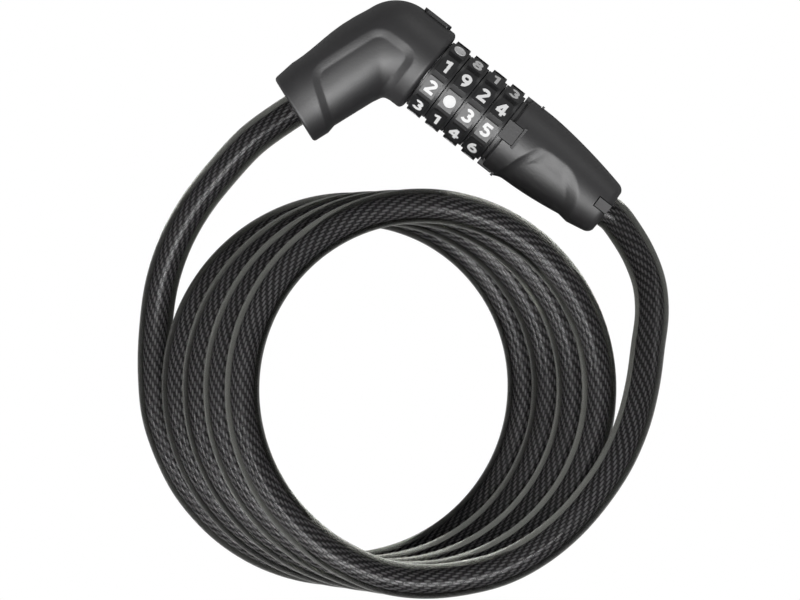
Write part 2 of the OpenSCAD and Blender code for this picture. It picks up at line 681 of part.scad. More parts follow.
module plug_cover() color(plastic) difference() {
    union() {
        cover_blank();
        each_tab() translate([lip_in, -lip_w / 2, lip_x]) cube([lip_out - lip_in, lip_w, lip_t]);
    }
    along_axis(cover_x - eps) cylinder(h = sleeve_end - cover_x + eps + 0.05, r = sleeve_r + seat_play);
    along_axis(sleeve_end) cylinder(h = plug_tail_x - sleeve_end + 0.1, r = plug_core_r + seat_play);
    along_axis(plug_tail_x) cylinder(h = plug_core_end - plug_tail_x + 0.1, r = plug_tail_r + seat_play);
    along_axis(plug_core_end) cylinder(h = 30, r = cable_r + snap_gap);
    each_tab() translate([sleeve_r - eps, -tab_w / 2 - snap_gap, cover_x - eps])
        cube([6, tab_w + 2 * snap_gap, collar_x + tab_l + 0.12 - cover_x + eps]);
    along_axis(lug_x - 0.05) cylinder(h = 10, r = clip_ring_r + seat_play);
    for (side = [-1, 1]) along_axis(0)
        translate([side * 10 - 5, -lug_w / 2 - snap_gap, lug_x - snap_gap])
            cube([10, lug_w + 2 * snap_gap, 10]);
}
module plug_collar() color(plastic) difference() {
    union() {
        along_axis(collar_x) cylinder(h = flange_t, r = flange_r);
        along_axis(collar_x + eps / 2) cylinder(h = sleeve_end - collar_x - eps / 2, r = sleeve_r);
        each_tab() translate([sleeve_r - 1.5, -tab_w / 2, collar_x])
            cube([tab_top - sleeve_r + 1.5, tab_w, tab_l]);
    }
    along_axis(collar_x - eps) cylinder(h = sleeve_end - collar_x + 2 * eps, r = socket_r);
}
module plug_core() color(zinc) difference() {
    union() {
        along_axis(plug_core_x) cylinder(h = plug_core_l, r = plug_core_r);
        along_axis(plug_tail_x - eps) cylinder(h = plug_core_end - plug_tail_x + eps, r = plug_tail_r);
    }
    along_axis(plug_core_x - eps) cylinder(h = bolt_end - plug_core_x + eps, r = bolt_r + press_fit);
    along_axis(plug_ferrule_x - 0.1) cylinder(h = 40, r = ferrule_r + glue_gap);
    bolt_pin_hole(plug_core_r + eps);
    plug_pin_hole(plug_tail_r + eps);
}
module cross_hole(x, reach, r) along_axis(x) rotate([0, 90, 0])
    translate([0, 0, -reach]) cylinder(h = 2 * reach, r = r, $fn = 32);
module bolt_pin_hole(reach, r = pin_r + press_fit) cross_hole(plug_core_x + 6, reach, r);
module plug_pin_hole(reach, r = pin_r + press_fit) cross_hole(plug_ferrule_x + ferrule_l / 2, reach, r);
module bolt() color(steel) difference() {
    tip = 1.2;
    union() {
        along_axis(bolt_tip) cylinder(h = tip, r1 = bolt_r - tip, r2 = bolt_r);
        along_axis(bolt_tip + tip) cylinder(h = bolt_end - 0.1 - bolt_tip - tip, r = bolt_r);
        for (i = [1 : wheels]) along_axis(wheel_x(i) + tooth_left)
            translate([-tooth_r, -tooth_t / 2, 0]) cube([tooth_r, tooth_t, tooth_w]);
    }
    bolt_pin_hole(bolt_r + eps);
}
module bolt_pin() color(steel) bolt_pin_hole(plug_core_r - 0.3, pin_r);
module plug_ferrule() color(steel) difference() {
    along_axis(plug_ferrule_x) tube(ferrule_r, rope_r + glue_gap, ferrule_l);
    plug_pin_hole(plug_tail_r);
}
module plug_ferrule_pin() color(steel) plug_pin_hole(plug_tail_r - 0.3, pin_r);
module cable_end_plug() color(jacket) difference() {
    union() {
        along_axis(plug_jacket_x) cylinder(h = plug_end - plug_jacket_x, r = cable_r);
        along_axis(plug_ferrule_x + 0.2)
            cylinder(h = plug_jacket_x - plug_ferrule_x, r = rope_r);
    }
    plug_pin_hole(rope_r + eps);
}
// The ring grips the jacket; its two lugs snap into the cover's slots
module cable_clip() color(plastic) difference() {
    union() {
        along_axis(lug_x + 0.1) cylinder(h = lug_l - 0.3, r = clip_ring_r);
        along_axis(lug_x) translate([-lug_r, -lug_w / 2, 0]) cube([2 * lug_r, lug_w, lug_l]);
    }
    along_axis(lug_x - eps) cylinder(h = lug_l + 2 * eps, r = cable_r + glue_gap);
}

// ---------- cable ----------
module cable_lead_elbow() color(jacket) swept(elbow_route, cable_r, lead_sides);
module cable_coil() color(jacket) swept(coil_path, cable_r, coil_sides);
module cable_lead_plug() color(jacket) swept(plug_route, cable_r, lead_sides);

elbow_cover_front();
elbow_cover_back();
elbow_core();
spindle();
detent_strip();
gate_spring();
end_washer();
retaining_clip();
elbow_ferrule();
elbow_ferrule_pin();
cable_end_elbow();
cable_lead_elbow();
cable_coil();
number_wheel_1();
number_wheel_2();
number_wheel_3();
number_wheel_4();
gate_1();
gate_2();
gate_3();
gate_4();
change_slider();
shift_ring();
plug_cover();
plug_collar();
plug_core();
bolt();
bolt_pin();
plug_ferrule();
plug_ferrule_pin();
cable_end_plug();
cable_clip();
cable_lead_plug();
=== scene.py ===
"""Looks of a combination cable lock: moulded housings, number wheels and a braided cable.

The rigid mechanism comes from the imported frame. This script gives every piece its finish,
replaces the coarse housings and cable with finer ones of the same form, and lights them.
Meshes are drawn in millimetres and made in metres, in the row frame: +X along the wheels'
axis from the elbow to the plug, +Z up, and the origin under the elbow's barrel.
"""

import logging
import math
from dataclasses import dataclass, field
from enum import Enum
from typing import Callable, Iterable, Sequence

import bmesh
import bpy
from mathutils import Matrix, Vector


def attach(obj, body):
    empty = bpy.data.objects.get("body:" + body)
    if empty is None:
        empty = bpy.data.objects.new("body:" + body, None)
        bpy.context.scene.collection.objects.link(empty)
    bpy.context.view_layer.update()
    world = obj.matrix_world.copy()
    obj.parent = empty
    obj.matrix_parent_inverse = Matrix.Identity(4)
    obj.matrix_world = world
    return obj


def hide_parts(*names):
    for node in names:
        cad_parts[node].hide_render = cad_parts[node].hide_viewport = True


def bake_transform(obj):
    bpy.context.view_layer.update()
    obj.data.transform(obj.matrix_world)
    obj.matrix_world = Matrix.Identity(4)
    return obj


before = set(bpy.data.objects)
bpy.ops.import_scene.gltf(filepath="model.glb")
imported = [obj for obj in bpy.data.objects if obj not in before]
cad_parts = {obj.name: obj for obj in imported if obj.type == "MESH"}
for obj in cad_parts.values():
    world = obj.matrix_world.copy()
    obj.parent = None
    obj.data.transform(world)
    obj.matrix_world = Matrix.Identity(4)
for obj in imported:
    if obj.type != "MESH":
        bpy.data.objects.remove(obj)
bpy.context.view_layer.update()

logging.basicConfig(level=logging.INFO, format="%(name)s: %(message)s")
log = logging.getLogger("cable_lock")

MM = 0.001
Point = Vector
Colour = tuple[float, float, float]
Face = tuple[int, ...]
Stroke = list[tuple[float, float]]
Triple = tuple[float, float, float]

X_AXIS = Vector((1, 0, 0))
WHEELS = range(1, 5)
CRISP_HOUSING, CRISP_SMALL = 34.0, 30.0  # degrees, for edges that stay sharp


# --------------------------------------------------------------------------- sizes
class Size:
    """Sizes that the pieces share, in millimetres, as the construction has them."""

    AXIS_H = 16.1
    BARREL_R = 16.5
    FACE_X = 3.4
    CROSS_X = -11.5
    ARM_LEAN = math.radians(20)
    ARM_LEN = 43.0
    ARM_IN_W = 13.2
    ARM_OUT_W = 14.7
    ARM_SWELL = 0.4
    MOUTH_W = 12.0
    MOUTH_H = 12.4
    MOUTH_ROUND = 1.2
    INNER_ROUND = 3.0
    LIP_R = 14.3
    WHEEL_1_X = 7.8
    PITCH = 8.2
    WHEEL_W = 8.0
    PAD_R = 14.9
    COLLAR_X = 36.75
    COVER_X = 38.55
    COVER_LEN = 45.6
    COVER_R = 14.95
    CABLE_R = 6.0
    BRAID_R = 2.85


class Body(str, Enum):
    """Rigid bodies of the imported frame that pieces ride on."""

    LOCK = "lock_body"
    PLUG = "plug"

    @staticmethod
    def wheel(number: int) -> str:
        """Name of a number wheel's body, counted from the elbow."""
        return f"wheel_{number}"


# --------------------------------------------------------------------------- materials
class Graph:
    """A material's node tree with a Principled shader and short ways to add nodes."""

    def __init__(self, name: str) -> None:
        """Makes an empty material with its shader and its output.

        Args:
            name: the material's name.
        """
        self.material = bpy.data.materials.new(name)
        self.material.use_nodes = True
        self.tree = self.material.node_tree
        self.tree.nodes.clear()
        self.shader = self.add("ShaderNodeBsdfPrincipled")
        self.output = self.add("ShaderNodeOutputMaterial")
        self.tree.links.new(self.shader.outputs[0], self.output.inputs["Surface"])

    def add(self, kind: str, **settings: object) -> bpy.types.Node:
        """Adds a node.

        Args:
            kind: the node's type name.
            settings: properties to set on it.

        Returns:
            The new node.
        """
        node = self.tree.nodes.new(kind)
        for key, value in settings.items():
            setattr(node, key, value)
        return node

    def feed(self, socket: bpy.types.NodeSocket, value: object) -> None:
        """Links an output to a socket, or sets the socket to a constant.

        Args:
            socket: the input to fill.
            value: an output socket, a number or a colour.
        """
        if isinstance(value, bpy.types.NodeSocket):
            self.tree.links.new(value, socket)
        elif isinstance(value, tuple) and len(value) == 3 and socket.type == "RGBA":
            socket.default_value = (*value, 1.0)
        else:
            socket.default_value = value

    def set(self, **values: object) -> None:
        """Fills inputs of the shader, with underscores for the spaces in their names."""
        for key, value in values.items():
            self.feed(self.shader.inputs[key.replace("_", " ")], value)

    def math(self, operation: str, a: object, b: object = 0.0) -> bpy.types.NodeSocket:
        """A Math node.

        Args:
            operation: the node's operation.
            a: first operand.
            b: second operand.

        Returns:
            Its output.
        """
        node = self.add("ShaderNodeMath", operation=operation)
        self.feed(node.inputs[0], a)
        self.feed(node.inputs[1], b)
        return node.outputs[0]

    def noise(self, scale: float, detail: float, stretch: Triple = (1, 1, 1)) -> bpy.types.NodeSocket:
        """Noise in the object's own coordinates, which are metres.

        Args:
            scale: cells per metre.
            detail: octaves.
            stretch: scale along each axis.

        Returns:
            The noise value.
        """
        where = self.add("ShaderNodeTexCoord").outputs["Object"]
        mapping = self.add("ShaderNodeMapping")
        mapping.inputs["Scale"].default_value = stretch
        self.feed(mapping.inputs["Vector"], where)
        node = self.add("ShaderNodeTexNoise")
        self.feed(node.inputs["Vector"], mapping.outputs[0])
        self.feed(node.inputs["Scale"], scale)
        self.feed(node.inputs["Detail"], detail)
        return node.outputs["Fac"]

    def between(self, factor: object, low: float, high: float) -> bpy.types.NodeSocket:
        """Maps a value from 0..1 to another range.

        Args:
            factor: the value.
            low: result at 0.
            high: result at 1.

        Returns:
            The mapped value.
        """
        node = self.add("ShaderNodeMapRange")
        self.feed(node.inputs["Value"], factor)
        self.feed(node.inputs["To Min"], low)
        self.feed(node.inputs["To Max"], high)
        return node.outputs[0]

    def mix(self, factor: object, a: Colour, b: Colour) -> bpy.types.NodeSocket:
        """Mixes two colours.

        Args:
            factor: share of the second colour.
            a: first colour.
            b: second colour.

        Returns:
            The mixed colour.
        """
        node = self.add("ShaderNodeMix", data_type="RGBA")
        self.feed(node.inputs["Factor"], factor)
        self.feed(node.inputs[6], a)
        self.feed(node.inputs[7], b)
        return node.outputs[2]

    def bump(self, height: object, distance: float, strength: float) -> bpy.types.NodeSocket:
        """A Bump node.

        Args:
            height: the height, from 0 to 1.
            distance: the height of 1 in metres.
            strength: its share.

        Returns:
            The bent normal.
        """
        node = self.add("ShaderNodeBump")
        self.feed(node.inputs["Strength"], strength)
        self.feed(node.inputs["Distance"], distance)
        self.feed(node.inputs["Height"], height)
        return node.outputs[0]


@dataclass(frozen=True)
class Finish:
    """Base of the finishes: a name and a way to make the material once."""

    name: str

    def make(self) -> bpy.types.Material:
        """Builds the material, or returns the one that was built before."""
        return bpy.data.materials.get(self.name) or self.build()

    def build(self) -> bpy.types.Material:
        """Builds the material."""
        raise NotImplementedError


@dataclass(frozen=True)
class GrainedPlastic(Finish):
    """Satin moulded plastic with a fine spark-eroded grain."""

    colour: Colour = (0.0135, 0.0130, 0.0142)
    roughness: float = 0.5
    grain: float = 1900.0
    depth: float = 0.00004
    ior: float = 1.85
    clouds: float = 160.0
    smoother: float = 0.04
    rougher: float = 0.05
    peak_gain: float = 1.5
    peak_lift: float = 0.004
    peak_share: float = 0.75

    def build(self) -> bpy.types.Material:
        """Builds the material.

        Returns:
            The new material.
        """
        g = Graph(self.name)
        fine = g.noise(self.grain, detail=2.0)
        broad = g.noise(self.clouds, detail=3.0)
        peak = tuple(c * self.peak_gain + self.peak_lift for c in self.colour)
        g.set(
            Base_Color=g.mix(g.between(fine, 0.0, self.peak_share), self.colour, peak),
            Roughness=g.between(broad, self.roughness - self.smoother, self.roughness + self.rougher),
            Normal=g.bump(fine, self.depth, strength=1.0),
            IOR=self.ior,
        )
        return g.material


@dataclass(frozen=True)
class WhitePaint(Finish):
    """Opaque white paint of the figures."""

    colour: Colour = (0.84, 0.84, 0.84)
    clouds: float = 900.0
    shade: float = 0.93
    roughness: tuple[float, float] = (0.5, 0.62)
    depth: float = 0.00002

    def build(self) -> bpy.types.Material:
        """Builds the material.

        Returns:
            The new material.
        """
        g = Graph(self.name)
        cloud = g.noise(self.clouds, detail=2.0)
        dull = tuple(c * self.shade for c in self.colour)
        g.set(
            Base_Color=g.mix(cloud, dull, self.colour),
            Roughness=g.between(cloud, *self.roughness),
            Normal=g.bump(cloud, self.depth, strength=0.5),
        )
        return g.material


@dataclass(frozen=True)
class WorkedMetal(Finish):
    """Cast or turned metal, with marks of its making."""

    colour: Colour = (0.56, 0.56, 0.57)
    roughness: float = 0.4
    grain: float = 900.0
    stretch: Triple = (1.0, 1.0, 1.0)
    shade: float = 0.72
    smoother: float = 0.08
    rougher: float = 0.1
    depth: float = 0.00003

    def build(self) -> bpy.types.Material:
        """Builds the material.

        Returns:
            The new material.
        """
        g = Graph(self.name)
        mark = g.noise(self.grain, detail=4.0, stretch=self.stretch)
        dull = tuple(c * self.shade for c in self.colour)
        g.set(
            Base_Color=g.mix(mark, dull, self.colour),
            Metallic=1.0,
            Roughness=g.between(mark, self.roughness - self.smoother, self.roughness + self.rougher),
            Normal=g.bump(mark, self.depth, strength=0.5),
        )
        return g.material


@dataclass(frozen=True)
class WovenBraid(Finish):
    """The cable's braid: columns of yarn floats, each column a third of a float pair further on.

    It reads the map named Wrap: once round the cable across, and metres along it.
    """

    columns: int = 24
    pitch: float = 0.0042
    share: float = 0.62
    # painted shade for the gaps between the columns and for the yarns passing under
    gap_shade: Colour = (0.045, 0.042, 0.050)
    light: Colour = (0.50, 0.475, 0.53)
    under: float = 0.1
    bluntness: float = 0.6
    roughness: tuple[float, float] = (0.9, 0.75)
    glint: float = 0.12
    depth: float = 0.00008
    relief: float = 0.6

    def build(self) -> bpy.types.Material:
        """Builds the material.

        Returns:
            The new material.
        """
        g = Graph(self.name)
        spot = g.add("ShaderNodeSeparateXYZ")
        g.feed(spot.inputs[0], g.add("ShaderNodeUVMap", uv_map="Wrap").outputs[0])
        around = g.math("MULTIPLY", spot.outputs[0], float(self.columns))
        along = g.math("DIVIDE", spot.outputs[1], self.pitch)
        across = self.hump(g, g.math("FRACT", around))
        third = g.math("DIVIDE", g.math("FLOOR", around), 3.0)
        place = g.math("FRACT", g.math("SUBTRACT", along, third))
        over = self.hump(g, g.math("MINIMUM", g.math("DIVIDE", place, self.share), 1.0))
        rest = g.math("DIVIDE", g.math("SUBTRACT", place, self.share), 1 - self.share)
        below = g.math("MULTIPLY", self.hump(g, g.math("MAXIMUM", rest, 0.0)), self.under)
        raised = g.math("MULTIPLY", across, g.math("POWER", over, self.bluntness))
        height = g.math("MAXIMUM", raised, below)
        # The colour follows the relief: the gaps between the columns and the yarns passing under are painted
        # shade, and each float is painted lighter towards its crest.
        g.set(
            Base_Color=g.mix(height, self.gap_shade, self.light),
            Roughness=g.between(height, *self.roughness),
            Specular_IOR_Level=self.glint,
            Normal=g.bump(height, self.depth, self.relief),
        )
        return g.material

    @staticmethod
    def hump(g: Graph, value: object) -> bpy.types.NodeSocket:
        """A round hump from 0 over 1 and back, for a value from 0 to 1."""
        return g.math("SINE", g.math("MULTIPLY", value, math.pi))


@dataclass(frozen=True)
class ClearJacket(Finish):
    """Smoke-tinted clear jacket over the braid."""

    colour: Colour = (0.29, 0.295, 0.27)
    roughness: float = 0.07
    ior: float = 1.42
    inner_gloss: float = 0.04
    gloss: float = 0.25
    gloss_roughness: float = 0.19
    haze: float = 0.22
    haze_roughness: float = 0.4
    haze_colour: Colour = (0.62, 0.62, 0.56)

    def build(self) -> bpy.types.Material:
        """Builds the material.

        Returns:
            The new material.
        """
        g = Graph(self.name)
        g.set(
            Base_Color=self.colour,
            Roughness=self.roughness,
            IOR=self.ior,
            Transmission_Weight=1.0,
            Specular_Tint=(self.inner_gloss,) * 3,
            Coat_Weight=self.gloss,
            Coat_Roughness=self.gloss_roughness,
            Sheen_Weight=self.haze,
            Sheen_Roughness=self.haze_roughness,
            Sheen_Tint=self.haze_colour,
        )
        return g.material


HOUSING = GrainedPlastic("satin_housing")
WHEEL = GrainedPlastic(
    "satin_wheel", colour=(0.012, 0.012, 0.0128), roughness=0.38, depth=0.000015, ior=1.7
)
CABLE_END = GrainedPlastic("cable_end", colour=(0.02, 0.02, 0.021), roughness=0.3, depth=0.000005)
PAINT = WhitePaint("figure_paint")
ZINC = WorkedMetal("cast_zinc")
STEEL = WorkedMetal("turned_steel", (0.66, 0.66, 0.67), 0.28, 500.0, (1.0, 12.0, 12.0))
SPRING = WorkedMetal("bright_spring", (0.42, 0.43, 0.45), 0.3, 1500.0)
BRAID = WovenBraid("woven_braid")
JACKET = ClearJacket("clear_jacket")


# --------------------------------------------------------------------------- curves of values
def lerp(a: float, b: float, t: float) -> float:
    """Value between a at 0 and b at 1."""
    return a + (b - a) * t


def share_of(t: float) -> float:
    """A value held between 0 and 1."""
    return min(max(t, 0.0), 1.0)


def ease(t: float) -> float:
    """Smooth step from 0 to 1."""
    s = share_of(t)
    return s * s * (3 - 2 * s)


def round_over(t: float) -> float:
    """How far a quarter round has fallen off, from 0 at its start to 1 at its end."""
    return 1 - math.sqrt(1 - share_of(t) * share_of(t))


def slope(t: float, soft: float = 0.08) -> float:
    """A straight slope from 0 to 1 with softly rounded ends.

    Args:
        t: the value.
        soft: share of the slope that each end's rounding takes.

    Returns:
        The height.
    """
    def part(x: float) -> float:
        """The slope's rounded start alone.

        Args:
            x: where, as in t.

        Returns:
            The height there.
        """
        if x <= -soft:
            return 0.0
        if x >= soft:
            return x
        return (x + soft) ** 2 / (4 * soft)

    return part(t) - part(t - 1)


CORNER_OUTSIDE = -0.5  # a side this far beyond a saddle's edge, as a share of its rim


def corner_blend(sides: Sequence[float], power: float = 2.6, reach: float = 2.2) -> float:
    """Smallest of several distances, with rounded corners.

    Args:
        sides: distances to a saddle's edges, as shares of its rim.
        power: how tight the corners are.
        reach: how far a corner's rounding reaches.

    Returns:
        The blended distance.
    """
    if min(sides) <= CORNER_OUTSIDE:
        return -1.0
    short = [max(0.0, reach - s) for s in sides]
    return reach - sum(x**power for x in short) ** (1 / power)


# --------------------------------------------------------------------------- meshes
def link(name: str, data: bpy.types.ID) -> bpy.types.Object:
    """Makes an object of a mesh, lamp or camera and puts it in the scene.

    Args:
        name: its name.
        data: its data.

    Returns:
        The object.
    """
    thing = bpy.data.objects.new(name, data)
    bpy.context.scene.collection.objects.link(thing)
    return thing


def new_object(name: str, points: Sequence, faces: Sequence, smooth: bool = True) -> bpy.types.Object:
    """Makes a mesh object from points in metres.

    Args:
        name: the piece's name.
        points: its vertices.
        faces: lists of vertex numbers.
        smooth: whether its faces are shaded smooth.

    Returns:
        The object, linked to the scene.
    """
    mesh = bpy.data.meshes.new(name)
    mesh.from_pydata([tuple(p) for p in points], [], [tuple(f) for f in faces])
    mesh.validate()
    if smooth:
        mesh.shade_smooth()
    return link(name, mesh)


def dress(thing: bpy.types.Object, finish: Finish) -> bpy.types.Object:
    """Gives a piece one finish.

    Args:
        thing: the piece.
        finish: its finish.

    Returns:
        The piece.
    """
    thing.data.materials.clear()
    thing.data.materials.append(finish.make())
    return thing


def sharpen(thing: bpy.types.Object, degrees: float) -> None:
    """Keeps edges sharper than an angle crisp, and shades the rest smooth."""
    thing.data.shade_smooth()
    thing.data.set_sharp_from_angle(angle=math.radians(degrees))


def apply_modifiers(thing: bpy.types.Object) -> None:
    """Makes the result of a piece's modifiers its mesh.

    Args:
        thing: the piece.
    """
    graph = bpy.context.evaluated_depsgraph_get()
    mesh = bpy.data.meshes.new_from_object(thing.evaluated_get(graph))
    thing.modifiers.clear()
    thing.data = mesh


def band_faces(rings: int, sides: int) -> list[Face]:
    """Faces between rings of points that are numbered one ring after another.

    Args:
        rings: how many rings there are.
        sides: points in each.

    Returns:
        The faces.
    """
    return [
        (i * sides + j, (i + 1) * sides + j, (i + 1) * sides + (j + 1) % sides, i * sides + (j + 1) % sides)
        for i in range(rings - 1) for j in range(sides)
    ]


def tool_from(mesh: bmesh.types.BMesh) -> bpy.types.Object:
    """Turns a bmesh, which it frees, into an object for a boolean cut.

    Args:
        mesh: the bmesh.

    Returns:
        The tool.
    """
    data = bpy.data.meshes.new("tool")
    mesh.to_mesh(data)
    mesh.free()
    return link("tool", data)


def box_tool(low: Sequence[float], high: Sequence[float]) -> bpy.types.Object:
    """A box for a boolean cut, in millimetres.

    Args:
        low: lowest corner.
        high: highest corner.

    Returns:
        The tool.
    """
    mesh = bmesh.new()
    bmesh.ops.create_cube(mesh, size=1.0)
    for vertex in mesh.verts:
        vertex.co = Vector([lerp(low[k], high[k], vertex.co[k] + 0.5) * MM for k in range(3)])
    return tool_from(mesh)


def rod_tool(start: Point, way: Vector, length: float, radius: float, sides: int = 96) -> bpy.types.Object:
    """A cylinder for a boolean cut, in millimetres.

    Args:
        start: centre of its first end.
        way: along its axis.
        length: its length.
        radius: its radius.
        sides: sides of its section.

    Returns:
        The tool.
    """
    mesh = bmesh.new()
    bmesh.ops.create_cone(
        mesh, cap_ends=True, segments=sides, radius1=radius * MM, radius2=radius * MM, depth=length * MM
    )
    turn = way.normalized().to_track_quat("Z", "Y").to_matrix().to_4x4()
    middle = (start + way.normalized() * length / 2) * MM
    bmesh.ops.transform(mesh, matrix=Matrix.Translation(middle) @ turn, verts=mesh.verts)
    return tool_from(mesh)


def combine(thing: bpy.types.Object, operation: str, tools: Iterable[bpy.types.Object]) -> None:
    """Adds tools to a piece or cuts them from it, and removes them.

    Args:
        thing: the piece.
        operation: UNION or DIFFERENCE.
        tools: the tools.
    """
    for tool in tools:
        modifier = thing.modifiers.new("cut", "BOOLEAN")
        modifier.operation, modifier.object, modifier.solver = operation, tool, "EXACT"
        apply_modifiers(thing)
        bpy.data.objects.remove(tool)


def soften(thing: bpy.types.Object, width: float, angle: float, weld: float = 0.002) -> None:
    """Rounds the sharp edges of a piece with modifiers and leaves its own mesh alone.

    Args:
        thing: the piece.
        width: width of the rounding in millimetres.
        angle: edges sharper than this many degrees are rounded.
        weld: corners closer than this are joined first, in millimetres.
    """
    thing.modifiers.new("join", "WELD").merge_threshold = weld * MM
    modifier = thing.modifiers.new("round", "BEVEL")
    modifier.width, modifier.segments = width * MM, 2
    modifier.limit_method, modifier.angle_limit = "ANGLE", math.radians(angle)


# --------------------------------------------------------------------------- elbow
@dataclass(frozen=True)
class Section:
    """A section of the elbow: its outer and inner point, half height and squareness."""

    outer: Point
    inner: Point
    half_height: float
    power: float

    @property
    def middle(self) -> Point:
        """The point half-way across."""
        return (self.outer + self.inner) / 2


@dataclass(frozen=True)
class ElbowShape:
    """The elbow's moulded form: a round barrel that turns into a leaning arm."""

    lip_rows: int = 6
    lip_run: float = 1.6
    barrel_rows: int = 22
    bend_rows: int = 56
    arm_rows: int = 110
    arm_crowding: float = 1.25
    flattening: float = 1.0
    fall_pace: float = 1.05
    barrel_power: float = 2.0
    bend_power: float = 2.2
    mouth_power: float = 2.3
    swell_run: float = 8.0
    taper_start: float = 11.0
    taper_trim: float = 20.0
    neck_run: float = 8.4
    neck_soft: float = 0.1
    eased_rows: tuple[int, int] = (10, 120)
    ease_passes: int = 60
    ease_fade: int = 12
    saddle_depth: float = 1.0
    saddle_rim: float = 2.9
    saddle_top: float = 2.0
    saddle_front: float = 5.8
    saddle_side: float = 8.9
    saddle_end: float = 33.4
    saddle_skew: float = 0.26

    @property
    def arm_dir(self) -> Vector:
        """Direction of the arm towards the cable."""
        return Vector((-math.sin(Size.ARM_LEAN), -math.cos(Size.ARM_LEAN), 0))

    @property
    def arm_side(self) -> Vector:
        """Direction square to the arm, towards the outside of the bend."""
        return Vector((-math.cos(Size.ARM_LEAN), math.sin(Size.ARM_LEAN), 0))

    def axis_point(self, along: float) -> Point:
        """A point on the arm's axis, at a distance from the crossing."""
        return Vector((Size.CROSS_X, 0, Size.AXIS_H)) + self.arm_dir * along

    def saddle(self, spot: Point) -> float:
        """How deep the finger saddle is at a place in the plan.

        Args:
            spot: the place.

        Returns:
            Depth in millimetres.
        """
        q = Vector((spot.x - Size.CROSS_X, spot.y, 0))
        a, b = q.dot(self.arm_dir), -q.dot(self.arm_side)
        sides = (
            (self.saddle_top - spot.y) / self.saddle_rim,
            (Size.FACE_X - self.saddle_front - spot.x) / self.saddle_rim,
            (b + self.saddle_side) / self.saddle_rim,
            (self.saddle_end - a + self.saddle_skew * b) / self.saddle_rim,
        )
        return self.saddle_depth * slope(corner_blend(sides))

    def sections(self) -> list[Section]:
        """Cuts the elbow across its path.

        Returns:
            The sections, from the lip beside the first wheel to the arm's mouth.
        """
        r, lean = Size.BARREL_R, Size.ARM_LEAN
        turn = math.pi / 2 - lean
        cross = Vector((Size.CROSS_X, 0, 0))
        edge_x = (
            Size.CROSS_X + (Size.ARM_IN_W - math.sin(lean) * r) / math.cos(lean)
            + Size.INNER_ROUND * math.tan(turn / 2)
        )
        bend_middle = Vector((edge_x, -r - Size.INNER_ROUND, 0))
        result = []
        for k in range(self.lip_rows + 1):
            angle = math.pi / 2 * k / self.lip_rows
            edge = lerp(Size.LIP_R, r, math.sin(angle))
            x = Size.FACE_X - self.lip_run * (1 - math.cos(angle))
            result.append(Section(Vector((x, edge, 0)), Vector((x, -edge, 0)), edge, self.barrel_power))
        first = Size.FACE_X - self.lip_run
        for k in range(1, self.barrel_rows):
            s = k / self.barrel_rows
            outer = Vector((lerp(first, cross.x, s), r, 0))
            inner = Vector((lerp(first, edge_x, s), -r, 0))
            result.append(Section(outer, inner, r, self.barrel_power))
        for k in range(self.bend_rows + 1):
            s = k / self.bend_rows
            way = Vector((-math.sin(turn * s), math.cos(turn * s), 0))
            result.append(Section(
                cross + way * r, bend_middle + way * Size.INNER_ROUND,
                lerp(r, r - self.flattening, ease(s)), lerp(self.barrel_power, self.bend_power, s),
            ))
        inner_start = (result[-1].inner - cross).dot(self.arm_dir)
        for k in range(1, self.arm_rows + 1):
            t = 1 - (1 - k / self.arm_rows) ** self.arm_crowding
            a, b = Size.ARM_LEN * t, lerp(inner_start, Size.ARM_LEN, t)
            e, f = self.mouth_edge(a), self.mouth_edge(b)
            height = lerp(r - self.flattening, Size.MOUTH_H, ease(t * self.fall_pace))
            result.append(Section(
                cross + self.arm_dir * a + self.arm_side * (self.out_w(a) - e),
                cross + self.arm_dir * b - self.arm_side * (Size.ARM_IN_W - f),
                height - e, lerp(self.bend_power, self.mouth_power, t),
            ))
        return result

    def out_w(self, a: float) -> float:
        """Outer half width of the arm.

        Args:
            a: distance along it.

        Returns:
            The half width.
        """
        full = Size.ARM_LEN
        if a < full - self.neck_run:
            bulge = Size.BARREL_R + Size.ARM_SWELL * ease(a / self.swell_run)
            return lerp(bulge, Size.ARM_OUT_W, ease((a - self.taper_start) / (full - self.taper_trim)))
        neck = slope((a - full + self.neck_run) / self.neck_run, self.neck_soft)
        return lerp(Size.ARM_OUT_W, Size.MOUTH_W + Size.MOUTH_ROUND, neck)

    @staticmethod
    def mouth_edge(a: float) -> float:
        """How far the arm's rounded end draws the skin in, at a distance along the arm."""
        return Size.MOUTH_ROUND * round_over((a - Size.ARM_LEN + Size.MOUTH_ROUND) / Size.MOUTH_ROUND)

    @staticmethod
    def skin(section: Section, angle: float, side: int) -> Point:
        """A point of a section.

        Args:
            section: the section.
            angle: 0 at the outside of the bend, pi at the inside.
            side: 1 for the upper half, -1 for the lower.

        Returns:
            The point, in millimetres.
        """
        half = (section.outer - section.inner) / 2
        c = math.copysign(abs(math.cos(angle)) ** (2 / section.power), math.cos(angle))
        s = max(math.sin(angle), 0.0) ** (2 / section.power)
        point = section.middle + Vector((half.x * c, half.y * c, 0))
        point.z = Size.AXIS_H + side * section.half_height * s
        return point

    def blank(self, sections: list[Section], angles: list[float], side: int) -> list[list[Point]]:
        """The skin before the saddle, eased along the elbow where the bend's sections fan out.

        Args:
            sections: the sections.
            angles: the angles in a section.
            side: 1 for the upper half, -1 for the lower.

        Returns:
            Rows of points.
        """
        rows = [[self.skin(section, a, side) for a in angles] for section in sections]
        first, last = self.eased_rows
        for _ in range(self.ease_passes):
            old = [list(row) for row in rows]
            for i in range(first, last):
                fade = ease((i - first) / self.ease_fade) * ease((last - i) / self.ease_fade)
                for j, a in enumerate(angles):
                    share = 0.5 * fade * math.sin(a) ** 2
                    rows[i][j] = old[i][j].lerp((old[i - 1][j] + old[i + 1][j]) / 2, share)
        return rows

